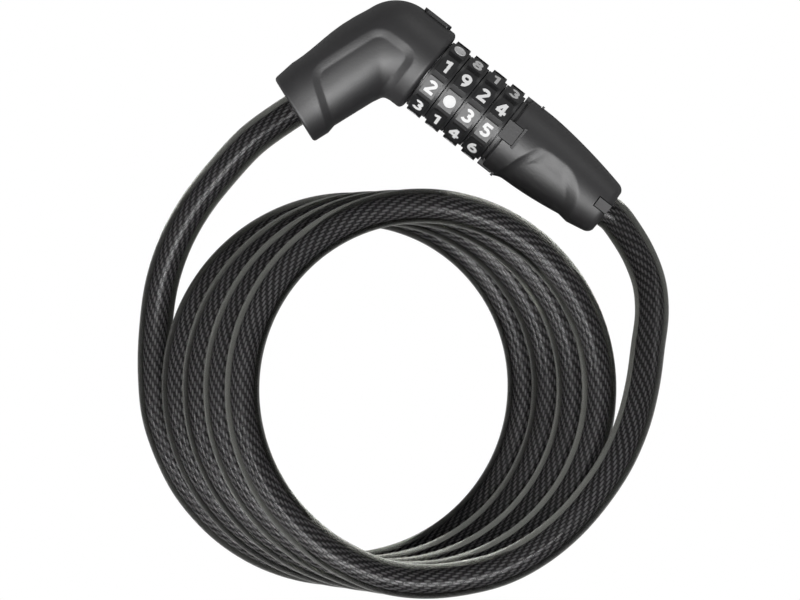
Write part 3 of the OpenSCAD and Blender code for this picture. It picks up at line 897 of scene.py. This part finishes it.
    def pressed(self, point: Point, section: Section) -> Point:
        """Moves a point of the blank in by the saddle's depth.

        Args:
            point: the point.
            section: its section.

        Returns:
            The point of the finished skin.
        """
        middle = section.middle
        middle.z = Size.AXIS_H
        out = point - middle
        moved = middle + out * (1 - self.saddle(point) / out.length)
        moved.z = max(0.0, moved.z)
        return moved


@dataclass
class Elbow:
    """The two moulded halves of the elbow. The rooms in them are given as length and radius."""

    shape: ElbowShape = field(default_factory=ElbowShape)
    half_sides: int = 132
    seam: float = 0.1
    core_x: float = -17.3
    core_room: tuple[float, float] = (22.0, 13.5)
    lead_room: tuple[float, float] = (39.1, 9.5)
    mouth_start: float = 38.0
    mouth_room: tuple[float, float] = (8.0, 6.25)
    slider_foot: tuple[Triple, Triple] = ((-5.8, 13.0, 14.5), (-0.4, 17.0, 17.7))

    def half(self, name: str, side: int) -> bpy.types.Object:
        """One closed half.

        Args:
            name: the piece's name.
            side: 1 for the upper half, -1 for the lower.

        Returns:
            The piece.
        """
        sections = self.shape.sections()
        angles = [math.pi * j / self.half_sides for j in range(self.half_sides + 1)]
        across, count = len(angles), len(sections)
        points: list[Vector] = []
        for section, plain in zip(sections, self.shape.blank(sections, angles, side)):
            row = [self.shape.pressed(point, section) for point in plain]
            for j in (0, -1):  # a small chamfer along the parting line
                inward = Vector((section.middle.x - row[j].x, section.middle.y - row[j].y, 0)).normalized()
                row[j] = row[j] + inward * self.seam
            points += [p * MM for p in row]
        faces: list[Face] = []
        for i in range(count - 1):
            a = i * across
            faces += [(a + j, a + j + 1, a + j + across + 1, a + j + across) for j in range(across - 1)]
            faces.append((a + across - 1, a, a + across, a + 2 * across - 1))
        faces.append(tuple(reversed(range(across))))
        faces.append(tuple((count - 1) * across + j for j in range(across)))
        if side < 0:
            faces = [tuple(reversed(f)) for f in faces]
        return new_object(name, points, faces)

    def open(self, thing: bpy.types.Object) -> None:
        """Cuts the room for the core, the cable and the slider's foot.

        Args:
            thing: one half.
        """
        arm = self.shape.arm_dir
        combine(thing, "DIFFERENCE", [
            rod_tool(Vector((self.core_x, 0, Size.AXIS_H)), X_AXIS, *self.core_room),
            rod_tool(self.shape.axis_point(0), arm, *self.lead_room),
            rod_tool(self.shape.axis_point(self.mouth_start), arm, *self.mouth_room),
            box_tool(*self.slider_foot),
        ])

    def build(self) -> None:
        """Makes both halves and lets them ride on the lock body."""
        for face, side in (("front", 1), ("back", -1)):
            thing = self.half(f"elbow_shell_{face}", side)
            self.open(thing)
            dress(thing, HOUSING)
            sharpen(thing, CRISP_HOUSING)
            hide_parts(f"elbow_cover_{face}")
            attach(thing, Body.LOCK.value)
            log.info("%s: %d faces", thing.name, len(thing.data.polygons))


# --------------------------------------------------------------------------- cable
@dataclass
class CableRoute:
    """The cable's centreline, in millimetres, as the construction lays it."""

    elbow: ElbowShape = field(default_factory=ElbowShape)
    inside: float = 6.0
    straight: float = 3.0
    turn_start: float = 0.1
    turn_end: float = 4.144
    chord: float = 0.03
    rings: int = 24
    coil_mid: tuple[float, float] = (46.8, -110.2)
    coil_a: float = 63.9
    coil_b: float = 64.8
    climb_step: float = 12.6
    lean_step: float = 8.2
    lean: float = math.radians(38)
    elbow_points: tuple[Triple, ...] = (
        (-31.5, -58, 16), (-33, -73, 14.6), (-33.2, -89, 12), (-31, -104, 9),
        (-26, -118.5, 7), (-18, -132.5, 6), (-8.5, -145.5, 6), (3, -157.5, 6),
    )
    plug_points: tuple[Triple, ...] = (
        (99, -149, 56.4), (111, -142, 56.4), (121.5, -132.2, 56.4), (130, -121, 56.4),
        (135.5, -108.5, 56.4), (138.5, -95, 56.2), (139.2, -81, 55.4), (138.2, -67.5, 53),
        (135, -54, 48.6), (130, -41.5, 42.4), (124, -30, 35.5), (118, -19, 28),
        (111, -11, 22), (102, -5.2, 18.4), (93, -1.6, 16.6),
    )

    def coil_point(self, turns: float) -> Point:
        """A place on the coil.

        Args:
            turns: turns from its start.

        Returns:
            The point.
        """
        share = turns - math.floor(turns)
        ramp = 0.0 if share < 0.5 else (1 - math.cos(math.tau * (share - 0.5))) / 2
        lean = Vector((math.cos(self.lean), math.sin(self.lean), 0))
        across = Vector((-lean.y, lean.x, 0))
        middle = Vector((*self.coil_mid, 0)) + lean * self.lean_step * turns
        place = middle - lean * self.coil_a * math.cos(math.tau * turns)
        place -= across * self.coil_b * math.sin(math.tau * turns)
        place.z = Size.CABLE_R + self.climb_step * (math.floor(turns) + ramp)
        return place

    @property
    def coil_end(self) -> Point:
        """The coil's last point."""
        return self.coil_point(self.turn_end + self.chord)

    def coil(self) -> list[Point]:
        """Lays the coil.

        Returns:
            Its points, from one straight end to the other.
        """
        steps = math.ceil((self.turn_end - self.turn_start) * self.rings)
        turns = [
            self.coil_point(lerp(self.turn_start, self.turn_end, i / steps)) for i in range(steps + 1)
        ]
        return [self.coil_point(self.turn_start - self.chord), *turns, self.coil_end]

    @property
    def elbow_mouth(self) -> Point:
        """Centre of the elbow's cable mouth."""
        return self.elbow.axis_point(Size.ARM_LEN)

    @property
    def plug_mouth(self) -> Point:
        """Centre of the plug's cable mouth."""
        return Vector((Size.COVER_X + Size.COVER_LEN, 0, Size.AXIS_H))

    def lock_side(self) -> list[Point]:
        """Lays the part of the cable that stays with the lock body.

        Returns:
            The points of the elbow's lead and of the coil.
        """
        mouth, out = self.elbow_mouth, self.elbow.arm_dir
        return [
            mouth - out * self.inside, mouth, mouth + out * self.straight,
            *(Vector(p) for p in self.elbow_points),
            *self.coil(),
        ]

    def plug_side(self) -> list[Point]:
        """Lays the part of the cable that goes to the plug.

        Returns:
            The points of the plug's lead, from the coil's end.
        """
        mouth = self.plug_mouth
        return [
            self.coil_end,
            *(Vector(p) for p in self.plug_points),
            mouth + X_AXIS * self.straight, mouth, mouth - X_AXIS * self.inside,
        ]


def smooth_line(points: Sequence[Point], step: float) -> list[Point]:
    """A smooth line through points, evenly stepped.

    Args:
        points: the points, in millimetres.
        step: the spacing of the result.

    Returns:
        The line.
    """
    ends = [points[0] * 2 - points[1], *points, points[-1] * 2 - points[-2]]
    dense: list[Point] = []
    for a, b, c, d in zip(ends, ends[1:], ends[2:], ends[3:]):
        ta, tc = (b - a).length ** 0.5, (c - b).length ** 0.5
        te = (d - c).length ** 0.5
        into = (b - a) / ta - (c - a) / (ta + tc) + (c - b) / tc
        out = (c - b) / tc - (d - b) / (tc + te) + (d - c) / te
        count = max(2, math.ceil((c - b).length / step))
        for k in range(count):
            s = k / count
            dense.append(
                b * (2 * s**3 - 3 * s**2 + 1) + into * tc * (s**3 - 2 * s**2 + s)
                + c * (3 * s**2 - 2 * s**3) + out * tc * (s**3 - s**2)
            )
    dense.append(points[-1].copy())
    return resample(dense, step)


def resample(line: Sequence[Point], step: float) -> list[Point]:
    """Even spacing along a line.

    Args:
        line: the line.
        step: the wanted spacing.

    Returns:
        The new line, with both ends kept.
    """
    gone = [0.0]
    for a, b in zip(line, line[1:]):
        gone.append(gone[-1] + (b - a).length)
    count = max(1, round(gone[-1] / step))
    result, at = [], 0
    for i in range(count + 1):
        want = gone[-1] * i / count
        while at < len(line) - 2 and gone[at + 1] < want:
            at += 1
        span = gone[at + 1] - gone[at]
        result.append(line[at].lerp(line[at + 1], (want - gone[at]) / span if span else 0.0))
    return result


def line_length(line: Sequence[Point]) -> float:
    """Length of a line."""
    return sum((b - a).length for a, b in zip(line, line[1:]))


def nearest(line: Sequence[Point], spot: Point) -> int:
    """Number of a line's point that is nearest to a spot."""
    return min(range(len(line)), key=lambda i: (line[i] - spot).length)


@dataclass
class Tube:
    """A tube swept along a line, with a map round and along it, and one to bake through."""

    name: str
    line: Sequence[Point]
    radius: float
    sides: int
    begin: float = 0.0
    row_gap: float = 0.03

    def rings(self) -> list[list[Vector]]:
        """Lays rings of points along the line.

        Returns:
            The rings, in millimetres.
        """
        last = len(self.line) - 1
        result = []
        for i, middle in enumerate(self.line):
            along = (self.line[min(i + 1, last)] - self.line[max(i - 1, 0)]).normalized()
            side = along.cross(Vector((0, 0, 1))).normalized()
            up = side.cross(along)
            result.append([
                middle + (side * math.cos(a) + up * math.sin(a)) * self.radius
                for a in (math.tau * j / self.sides for j in range(self.sides))
            ])
        return result

    def build(self, finish: Finish, mapped: bool, seam: Sequence[Vector] | None = None) -> bpy.types.Object:
        """Makes the tube.

        Args:
            finish: its finish.
            mapped: whether it gets its maps.
            seam: points for its first ring, taken from the tube that it continues.

        Returns:
            The piece.
        """
        rings = self.rings()
        if seam is not None:
            rings[0] = list(seam)
        points = [p * MM for ring in rings for p in ring]
        thing = dress(new_object(self.name, points, band_faces(len(rings), self.sides)), finish)
        if mapped:
            self.map(thing)
        log.info("%s: %d rings of %d", self.name, len(rings), self.sides)
        return thing

    def map(self, thing: bpy.types.Object) -> None:
        """Adds the map round and along the tube, and rows of it side by side for the bake.

        Args:
            thing: the tube.
        """
        wrap = thing.data.uv_layers.new(name="Wrap")
        rows_map = thing.data.uv_layers.new(name="OFBake")
        steps, length = len(self.line) - 1, line_length(self.line)
        rows = max(1, round(math.sqrt(length / (math.tau * self.radius))))
        per_row = math.ceil(steps / rows)
        step = length / steps * MM
        filled = 1 - 2 * self.row_gap
        for face in range(len(thing.data.polygons)):
            i, j = divmod(face, self.sides)
            row, place = divmod(i, per_row)
            for k, (di, dj) in enumerate(((0, 0), (1, 0), (1, 1), (0, 1))):
                loop = face * 4 + k
                wrap.data[loop].uv = ((j + dj) / self.sides, self.begin * MM + (i + di) * step)
                rows_map.data[loop].uv = (
                    (place + di) / per_row,
                    (row + self.row_gap + filled * (j + dj) / self.sides) / rows,
                )


@dataclass
class Cable:
    """The braided cable: its clear jacket and the braid inside, in two lengths."""

    route: CableRoute = field(default_factory=CableRoute)
    fine_step: float = 0.5
    step: float = 2.0
    jacket_sides: int = 40
    braid_sides: int = 28

    def build(self) -> None:
        whole = smooth_line([*self.route.lock_side(), *self.route.plug_side()[1:]], self.fine_step)
        cut = nearest(whole, self.route.coil_end)
        lock_line = resample(whole[: cut + 1], self.step)
        self.lock_length(lock_line)
        self.plug_length(resample(whole[cut:], self.step), lock_line)

    def tubes(
        self, name: str, line: Sequence[Point], before: Sequence[Point] = ()
    ) -> tuple[bpy.types.Object, bpy.types.Object]:
        """Makes the jacket and the braid of one length.

        Args:
            name: what the length is called.
            line: its centreline, as far as it shows.
            before: the centreline of the length that it continues, if any.

        Returns:
            The jacket and the braid.
        """
        made = []
        for part, radius, sides, finish in (
            ("jacket", Size.CABLE_R, self.jacket_sides, JACKET),
            ("braid", Size.BRAID_R, self.braid_sides, BRAID),
        ):
            seam = Tube("", before, radius, sides).rings()[-1] if before else None
            tube = Tube(f"cable_{part}_{name}", line, radius, sides, line_length(before))
            made.append(tube.build(finish, part == "braid", seam))
        return made[0], made[1]

    def lock_length(self, line: Sequence[Point]) -> None:
        """The elbow's lead and the coil.

        Args:
            line: their centreline.
        """
        mouth = self.route.elbow_mouth
        shown = line[nearest(line, mouth):]
        jacket, braid = self.tubes("coil", shown)
        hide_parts("cable_lead_elbow", "cable_coil")
        for piece in (jacket, braid):
            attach(piece, Body.LOCK.value)
        log.info("cable from the elbow to the coil's end: %.0f mm", line_length(shown))

    def plug_length(self, line: Sequence[Point], before: Sequence[Point]) -> None:
        """The plug's lead, which runs between the coil and the plug.

        Args:
            line: its centreline.
            before: the centreline of the length that it continues.
        """
        mouth = self.route.plug_mouth
        shown = line[: nearest(line, mouth) + 1]
        jacket, braid = self.tubes("lead", shown, before)
        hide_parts("cable_lead_plug")
        for piece in (jacket, braid):
            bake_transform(piece)
        log.info("cable from the coil's end to the plug: %.0f mm", line_length(shown))


# --------------------------------------------------------------------------- plug
@dataclass(frozen=True)
class PlugShape:
    """The plug cover's moulded form. Its places are given by the distance u from its front."""

    taper: float = 4.3
    taper_start: float = 8.0
    taper_trim: float = 3.6
    taper_power: float = 1.65
    tail_round: float = 2.6
    tail_draw: float = 0.92
    tail_drop: float = 0.1
    drop_run: float = 14.0
    chamfer_depth: float = 0.45
    chamfer_width: float = 0.5
    saddle_depth: float = 1.2
    saddle_start: float = 10.5
    saddle_skew: float = 0.33
    bend_x: float = 23.5
    bend_y: float = -13.0
    bend_length: float = 12.8
    bend_width: float = 16.4
    rim_top: float = 4.4
    rim_far: float = 4.0
    rim_near: float = 3.8
    rim_change: float = 8.0

    def radius(self, u: float) -> float:
        """Radius of the cover.

        Args:
            u: distance from its front.

        Returns:
            The radius in millimetres.
        """
        length = Size.COVER_LEN
        run = length - self.taper_start - self.taper_trim
        fall = self.taper * (max(u - self.taper_start, 0) / run) ** self.taper_power
        end = self.tail_draw * self.tail_round * round_over((u - length + self.tail_round) / self.tail_round)
        chamfer = max(0.0, self.chamfer_depth - self.chamfer_depth / self.chamfer_width * u)
        return Size.COVER_R - fall - end - chamfer

    def saddle(self, u: float, y: float) -> float:
        """Depth of the finger saddle.

        Args:
            u: distance from the cover's front.
            y: place across.

        Returns:
            Depth in millimetres.
        """
        far = max(u - self.bend_x, 0) / self.bend_length
        edge = (1 - math.hypot(far, max(y - self.bend_y, 0) / self.bend_width)) * self.bend_length
        near = u - self.saddle_start - self.saddle_skew * y
        if min(edge, near) <= 0:
            return 0.0
        change = ease((u - self.bend_x) / self.rim_change)
        over = lerp(self.run_out(edge / self.rim_top), edge / self.rim_far, change)
        return self.saddle_depth * slope(corner_blend((over, self.run_out(near / self.rim_near))))

    @staticmethod
    def run_out(t: float) -> float:
        """A rim that starts crisply and runs out softly, for a share of its width."""
        return 1 - (1 - t) ** 2 if t < 1 else t

    def point(self, u: float, angle: float) -> Point:
        """A point of the cover's skin.

        Args:
            u: distance from the front.
            angle: 0 at the top, a quarter turn at +Y.

        Returns:
            The point, in millimetres.
        """
        r = self.radius(u)
        r -= self.saddle(u, r * math.sin(angle))
        shift = -self.tail_drop * ease((u - self.taper_start) / self.drop_run)
        return Vector((Size.COVER_X + u, shift + r * math.sin(angle), Size.AXIS_H + r * math.cos(angle)))


@dataclass
class Plug:
    """The plug's cover, with its notches for the snap tabs and the clip's lugs.

    The lips and notches lie round the axis at radii from low to high, and each bore has
    its start along X, its length and its radius.
    """

    shape: PlugShape = field(default_factory=PlugShape)
    sides: int = 168
    rows: int = 105
    tail_rows: int = 10
    tabs: int = 4
    front_clear: float = 1.0
    lip_x: float = Size.COLLAR_X + 6.2
    lip_length: float = 0.9
    lip_half: float = 4.35
    lip_radii: tuple[float, float] = (13.5, 15.3)
    notch_end: float = Size.COLLAR_X + 6.22
    notch_half: float = 3.8
    notch_radii: tuple[float, float] = (11.7, 18.0)
    bores: tuple[Triple, ...] = (
        (Size.COVER_X - 1, 7.95, 12.8), (45.4, 12.7, 10.2), (58.0, 16.3, 8.5),
        (74.0, 12.0, 6.25), (78.6, 8.0, 8.5),
    )
    lug_x: tuple[float, float] = (78.35, 90.0)
    lug_half: float = 2.1
    lug_middle: float = 10.0
    lug_reach: float = 5.0

    def build(self) -> None:
        """Makes the cover and lets it ride on the plug."""
        full = Size.COVER_LEN - self.shape.tail_round
        front = self.shape.chamfer_width
        stops = [0.0, front / 2, front]
        stops += [lerp(front, full, i / self.rows) for i in range(1, self.rows + 1)]
        for k in range(1, self.tail_rows + 1):
            rise = math.sin(math.pi / 2 * k / self.tail_rows)
            stops.append(Size.COVER_LEN - self.shape.tail_round * (1 - rise))
        n = self.sides
        points = [self.shape.point(u, math.tau * j / n) * MM for u in stops for j in range(n)]
        faces = band_faces(len(stops), n)
        faces.append(tuple(range(n)))
        faces.append(tuple((len(stops) - 1) * n + j for j in reversed(range(n))))
        cover = new_object("plug_shell", points, faces)
        self.open(cover)
        dress(cover, HOUSING)
        sharpen(cover, CRISP_HOUSING)
        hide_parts("plug_cover")
        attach(cover, Body.PLUG.value)
        log.info("plug_shell: %d faces", len(cover.data.polygons))

    def round_the_axis(self, low: Triple, high: Triple) -> list[bpy.types.Object]:
        """Box tools for each snap tab, turned about the wheels' axis.

        Args:
            low: lowest corner of the first box, from the axis.
            high: its highest corner.

        Returns:
            The tools.
        """
        tools = []
        for k in range(self.tabs):
            tools.append(box_tool(low, high))
            tools[-1].data.transform(Matrix.Rotation(math.tau / self.tabs * k, 4, "X"))
            tools[-1].data.transform(Matrix.Translation((0, 0, Size.AXIS_H * MM)))
        return tools

    def open(self, cover: bpy.types.Object) -> None:
        """Adds the lips behind the tabs and cuts the openings.

        Args:
            cover: the cover's blank.
        """
        axis = Vector((0, 0, Size.AXIS_H))
        combine(cover, "UNION", self.round_the_axis(
            (self.lip_x, -self.lip_half, self.lip_radii[0]),
            (self.lip_x + self.lip_length, self.lip_half, self.lip_radii[1]),
        ))
        cuts = self.round_the_axis(
            (Size.COVER_X - self.front_clear, -self.notch_half, self.notch_radii[0]),
            (self.notch_end, self.notch_half, self.notch_radii[1]),
        )
        cuts += [rod_tool(axis + X_AXIS * x, X_AXIS, length, r) for x, length, r in self.bores]
        for side in (-1, 1):
            middle = Size.AXIS_H + side * self.lug_middle
            cuts.append(box_tool(
                (self.lug_x[0], -self.lug_half, middle - self.lug_reach),
                (self.lug_x[1], self.lug_half, middle + self.lug_reach),
            ))
        combine(cover, "DIFFERENCE", cuts)


# --------------------------------------------------------------------------- figures
ARC_STEP = 9  # degrees between the points of an arc
ARC_LEAST = 6  # steps of the shortest arc
SAME_PLACE = 1e-6


def arc(cx: float, cy: float, rx: float, ry: float, start: float, end: float) -> Stroke:
    """Points of an elliptic arc.

    Args:
        cx: centre across.
        cy: centre up.
        rx: radius across.
        ry: radius up.
        start: first angle in degrees.
        end: last angle in degrees.

    Returns:
        The points.
    """
    count = max(ARC_LEAST, int(abs(end - start) / ARC_STEP))
    angles = [math.radians(lerp(start, end, k / count)) for k in range(count + 1)]
    return [(cx + rx * math.cos(a), cy + ry * math.sin(a)) for a in angles]


# centrelines of each figure's strokes, in millimetres from the pad's middle
FIGURES: dict[int, list[Stroke]] = {
    1: [[(0.45, -2.35), (0.45, 2.35)], [(0.6, 1.85), (-1.1, 1.3)]],
    2: [[*arc(-0.02, 1.05, 1.12, 0.86, 165, -25), (-1.1, -1.75)], [(-1.55, -1.87), (1.6, -1.87)]],
    3: [arc(-0.1, 1.0, 1.1, 0.9, 145, -90), arc(-0.1, -0.95, 1.22, 0.98, 90, -150)],
    4: [[(0.35, 2.2), (-1.5, -0.75)], [(-1.75, -0.92), (1.7, -0.92)], [(0.5, 2.35), (0.5, -2.35)]],
    5: [[(-1.2, 1.87), (1.35, 1.87)], [(-0.95, 1.9), (-1.1, 0.1)], arc(-0.1, -0.8, 1.25, 1.08, 128, -150)],
    6: [arc(0, -0.85, 1.2, 1.05, 0, 360), arc(0.5, -0.75, 1.7, 2.62, 180, 92)],
    7: [[(-1.5, 1.87), (1.5, 1.87)], [(1.3, 1.9), (-0.45, -2.35)]],
    8: [arc(0, 1.08, 0.98, 0.82, 0, 360), arc(0, -0.98, 1.2, 0.95, 0, 360)],
    9: [arc(0, 0.85, 1.2, 1.05, 0, 360), arc(-0.5, 0.75, 1.7, 2.62, 0, -88)],
}


@dataclass
class Wheels:
    """The number wheels' figures, one on each flat pad, and a dot in place of the zero."""

    first_on_top: tuple[int, ...] = (0, 8, 1, 3)
    figures: int = 10
    top_angle: float = -54.0
    pad_angle: float = 36.0
    stroke: float = 1.14
    widen: float = 1.15
    heighten: float = 1.04
    proud: float = 0.05
    sharpest_turn: float = 0.5
    dot_sides: int = 48
    dot_profile: tuple[tuple[float, float], ...] = (
        (2.3, -0.05), (2.3, 0.13), (2.23, 0.18), (1.8, 0.18),
        (1.76, 0.03), (1.62, 0.03), (1.58, 0.13), (0.8, 0.06),
    )
    dot_middle: float = 0.05
    thrust_r: float = 12.6
    thrust_bore: float = 9.4
    thrust_h: float = 0.28
    thrust_sink: float = 0.05
    thrust_cut: float = 3.0

    def ribbon(self, stroke: Stroke) -> tuple[list[Vector], list[Face]]:
        """A flat stroke of even width.

        Args:
            stroke: its centreline.

        Returns:
            Points and faces of a thin slab, in millimetres.
        """
        line = [Vector((x * self.widen, y * self.heighten, 0)) for x, y in stroke]
        closed = (line[0] - line[-1]).length < SAME_PLACE
        if closed:
            line.pop()
        count, points = len(line), []
        for i, p in enumerate(line):
            before = line[i - 1] if closed or i else p
            after = line[(i + 1) % count] if closed or i < count - 1 else p
            a, b = p - before, after - p
            way = (a.normalized() + b.normalized()).normalized()
            across = Vector((-way.y, way.x, 0))
            turn = a.normalized().dot(b.normalized()) if a.length and b.length else 1.0
            width = self.stroke / 2 / max(self.sharpest_turn, math.sqrt((1 + turn) / 2))
            for top in (-self.proud, self.proud):
                points += [p + across * width + Vector((0, 0, top)), p - across * width + Vector((0, 0, top))]
        faces: list[Face] = []
        for i in range(count if closed else count - 1):
            a, b = 4 * i, 4 * ((i + 1) % count)
            faces += [
                (a + 2, a + 3, b + 3, b + 2), (a, b, b + 1, a + 1),
                (a, a + 2, b + 2, b), (a + 1, b + 1, b + 3, a + 3),
            ]
        if not closed:
            faces += [(0, 1, 3, 2), tuple(4 * (count - 1) + k for k in (0, 2, 3, 1))]
        return points, faces

    def dot(self) -> tuple[list[Vector], list[Face]]:
        """A round dot with a ring and a shallow dish in it.

        Returns:
            Points and faces, in millimetres.
        """
        n, rings = self.dot_sides, len(self.dot_profile)
        points = [
            Vector((r * math.cos(math.tau * k / n), r * math.sin(math.tau * k / n), z))
            for r, z in self.dot_profile for k in range(n)
        ]
        points.append(Vector((0, 0, self.dot_middle)))
        faces: list[Face] = []
        for i in range(rings - 1):
            for k in range(n):
                a, b = i * n + k, i * n + (k + 1) % n
                faces.append((a, b, b + n, a + n))
        last = (rings - 1) * n
        faces += [(last + k, last + (k + 1) % n, len(points) - 1) for k in range(n)]
        return points, faces

    def figure(self, number: int) -> tuple[list[Vector], list[Face]]:
        """One figure as a single slab.

        Args:
            number: the figure; 0 is the dot.

        Returns:
            Points and faces, in millimetres.
        """
        if number == 0:
            return self.dot()
        slabs = [new_object("slab", *self.ribbon(stroke), False) for stroke in FIGURES[number]]
        combine(slabs[0], "UNION", slabs[1:])
        points = [vertex.co.copy() for vertex in slabs[0].data.vertices]
        faces = [tuple(face.vertices) for face in slabs[0].data.polygons]
        bpy.data.objects.remove(slabs[0])
        return points, faces

    def build(self) -> None:
        """Makes the figures of every wheel and lets them ride on it."""
        slabs = [self.figure(number) for number in range(self.figures)]
        for number, top in zip(WHEELS, self.first_on_top):
            points: list[Vector] = []
            faces: list[Face] = []
            for figure, (shape, flats) in enumerate(slabs):
                angle = math.radians(self.top_angle + self.pad_angle * (figure - top))
                base = len(points)
                points += [self.place(p, number, angle) * MM for p in shape]
                faces += [tuple(base + k for k in f) for f in flats]
            thing = new_object(f"wheel_{number}_figures", points, faces)
            self.finish(thing, PAINT, number)
        self.thrust_face()

    def thrust_face(self) -> None:
        """Adds the low ring on the last wheel's side that runs beside the plug's collar."""
        number = WHEELS[-1]
        side = Vector((self.middle_x(number) + Size.WHEEL_W / 2, 0, Size.AXIS_H))
        ring = rod_tool(
            side - X_AXIS * self.thrust_sink, X_AXIS, self.thrust_sink + self.thrust_h, self.thrust_r
        )
        through = rod_tool(side - X_AXIS, X_AXIS, self.thrust_cut, self.thrust_bore)
        combine(ring, "DIFFERENCE", [through])
        ring.name = f"wheel_{number}_thrust_face"
        self.finish(ring, WHEEL, number)

    @staticmethod
    def finish(thing: bpy.types.Object, finish: Finish, number: int) -> None:
        """Dresses a piece and lets it ride on its wheel.

        Args:
            thing: the piece.
            finish: its finish.
            number: the wheel.
        """
        dress(thing, finish)
        sharpen(thing, CRISP_SMALL)
        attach(thing, Body.wheel(number))
        log.info("%s: %d faces", thing.name, len(thing.data.polygons))

    @staticmethod
    def middle_x(number: int) -> float:
        """Where the middle of a wheel is along the axis, in millimetres."""
        return Size.WHEEL_1_X + (number - 1) * Size.PITCH

    def place(self, p: Vector, number: int, angle: float) -> Point:
        """Puts a figure's point on its pad.

        Args:
            p: the point on the flat, across, up and proud.
            number: the wheel.
            angle: the pad's angle from the top towards -Y.

        Returns:
            The point, in millimetres.
        """
        up = Vector((0, math.cos(angle), math.sin(angle)))
        out = Vector((0, -math.sin(angle), math.cos(angle)))
        foot = Vector((self.middle_x(number) + p.x, 0, Size.AXIS_H))
        return foot + up * p.y + out * (Size.PAD_R + p.z)


# --------------------------------------------------------------------------- carried pieces
@dataclass
class Carried:
    """The pieces that come from the frame as they are, each with its finish."""

    worn: dict[Finish, tuple[str, ...]] = field(default_factory=lambda: {
        HOUSING: ("plug_collar", "cable_clip"),
        WHEEL: ("change_slider", *(f"number_wheel_{i}" for i in WHEELS)),
        ZINC: ("elbow_core", "plug_core", "shift_ring", *(f"gate_{i}" for i in WHEELS)),
        STEEL: (
            "spindle", "bolt", "bolt_pin", "end_washer", "elbow_ferrule", "elbow_ferrule_pin",
            "plug_ferrule", "plug_ferrule_pin",
        ),
        SPRING: ("detent_strip", "gate_spring", "retaining_clip"),
        CABLE_END: ("cable_end_elbow", "cable_end_plug"),
    })
    rounded: tuple[str, ...] = ("cable_clip", "change_slider")
    rounding: float = 0.14
    rounded_from: float = 32.0

    def build(self) -> None:
        """Dresses each node, and rounds the edges of those that show."""
        for finish, names in self.worn.items():
            for name in names:
                dress(bpy.data.objects[name], finish)
                log.info("%s wears %s", name, finish.name)
        for name in self.rounded:
            soften(bpy.data.objects[name], self.rounding, self.rounded_from)


# --------------------------------------------------------------------------- studio
@dataclass(frozen=True)
class SoftBox:
    """A soft lamp that faces the object, in degrees, metres and watts.

    It leans by the tilt from straight above, towards a bearing that is 0 at the camera's
    right and 90 at its top.
    """

    name: str
    tilt: float
    bearing: float
    distance: float
    width: float
    height: float
    power: float


@dataclass
class Studio:
    """Camera, floor and soft lights, in metres."""

    aim: tuple[float, float] = (0.0453, -0.0705)
    camera_height: float = 1.1
    turn: float = math.radians(38)
    lens: float = 136.53
    sensor: float = 36.0
    clip: tuple[float, float] = (0.05, 20.0)
    floor_half: float = 3.0
    floor_drop: float = 0.0002
    floor_colour: Colour = (0.3, 0.3, 0.3)
    floor_roughness: float = 0.9
    sky_strength: float = 0.15
    lamp_aim_height: float = 0.02
    lamps: tuple[SoftBox, ...] = (
        SoftBox("key", 21, -100, 1.25, 0.6, 0.6, 12.5),
        SoftBox("streak", 42, -140, 1.2, 0.9, 0.1, 4.2),
        SoftBox("strip_near", 72, -128, 1.2, 1.3, 0.22, 2.7),
        SoftBox("strip_far", 72, 52, 1.2, 1.3, 0.22, 1.6),
    )

    def camera(self) -> None:
        """A camera straight above, turned about its own axis."""
        data = bpy.data.cameras.new("camera")
        data.lens, data.sensor_width, data.sensor_fit = self.lens, self.sensor, "HORIZONTAL"
        data.clip_start, data.clip_end = self.clip
        camera = link("camera", data)
        camera.location = (*self.aim, self.camera_height)
        camera.rotation_euler = (0, 0, self.turn)
        bpy.context.scene.camera = camera

    def floor(self) -> None:
        """A pale floor that looks plain white to the camera."""
        w = self.floor_half
        thing = new_object("floor", [(-w, -w, 0), (w, -w, 0), (w, w, 0), (-w, w, 0)], [(0, 1, 2, 3)], False)
        g = Graph("floor_white")
        g.set(Base_Color=self.floor_colour, Roughness=self.floor_roughness)
        glow = g.add("ShaderNodeEmission")
        glow.inputs["Color"].default_value = (1, 1, 1, 1)
        mixer = g.add("ShaderNodeMixShader")
        g.feed(mixer.inputs[0], g.add("ShaderNodeLightPath").outputs["Is Camera Ray"])
        g.feed(mixer.inputs[1], g.shader.outputs[0])
        g.feed(mixer.inputs[2], glow.outputs[0])
        g.feed(g.output.inputs["Surface"], mixer.outputs[0])
        thing.data.materials.append(g.material)
        thing.location.z = -self.floor_drop

    def light(self, box: SoftBox) -> None:
        """Hangs a soft box.

        Args:
            box: the soft box.
        """
        data = bpy.data.lights.new(box.name, "AREA")
        data.shape, data.size, data.size_y, data.energy = "RECTANGLE", box.width, box.height, box.power
        lamp = link(box.name, data)
        bearing, lean = math.radians(box.bearing) + self.turn, math.radians(box.tilt)
        level = math.sin(lean)
        way = Vector((math.cos(bearing) * level, math.sin(bearing) * level, math.cos(lean)))
        lamp.location = Vector((*self.aim, self.lamp_aim_height)) + way * box.distance
        lamp.rotation_euler = way.to_track_quat("Z", "Y").to_euler()

    def sky(self) -> None:
        """Even dim light from all round."""
        world = bpy.data.worlds.new("studio")
        world.use_nodes = True
        background = world.node_tree.nodes["Background"]
        background.inputs["Color"].default_value = (1, 1, 1, 1)
        background.inputs["Strength"].default_value = self.sky_strength
        bpy.context.scene.world = world

    def build(self) -> None:
        """Floor and lights."""
        self.floor()
        self.sky()
        for box in self.lamps:
            self.light(box)
        bpy.context.scene.view_settings.view_transform = "Standard"


def main() -> None:
    """Builds the whole scene, camera and cable first."""
    studio = Studio()
    studio.camera()
    parts: tuple[Callable[[], None], ...] = (
        Cable().build, Elbow().build, Plug().build, Wheels().build, Carried().build, studio.build,
    )
    for part in parts:
        part()


if __name__ == "__main__":
    main()
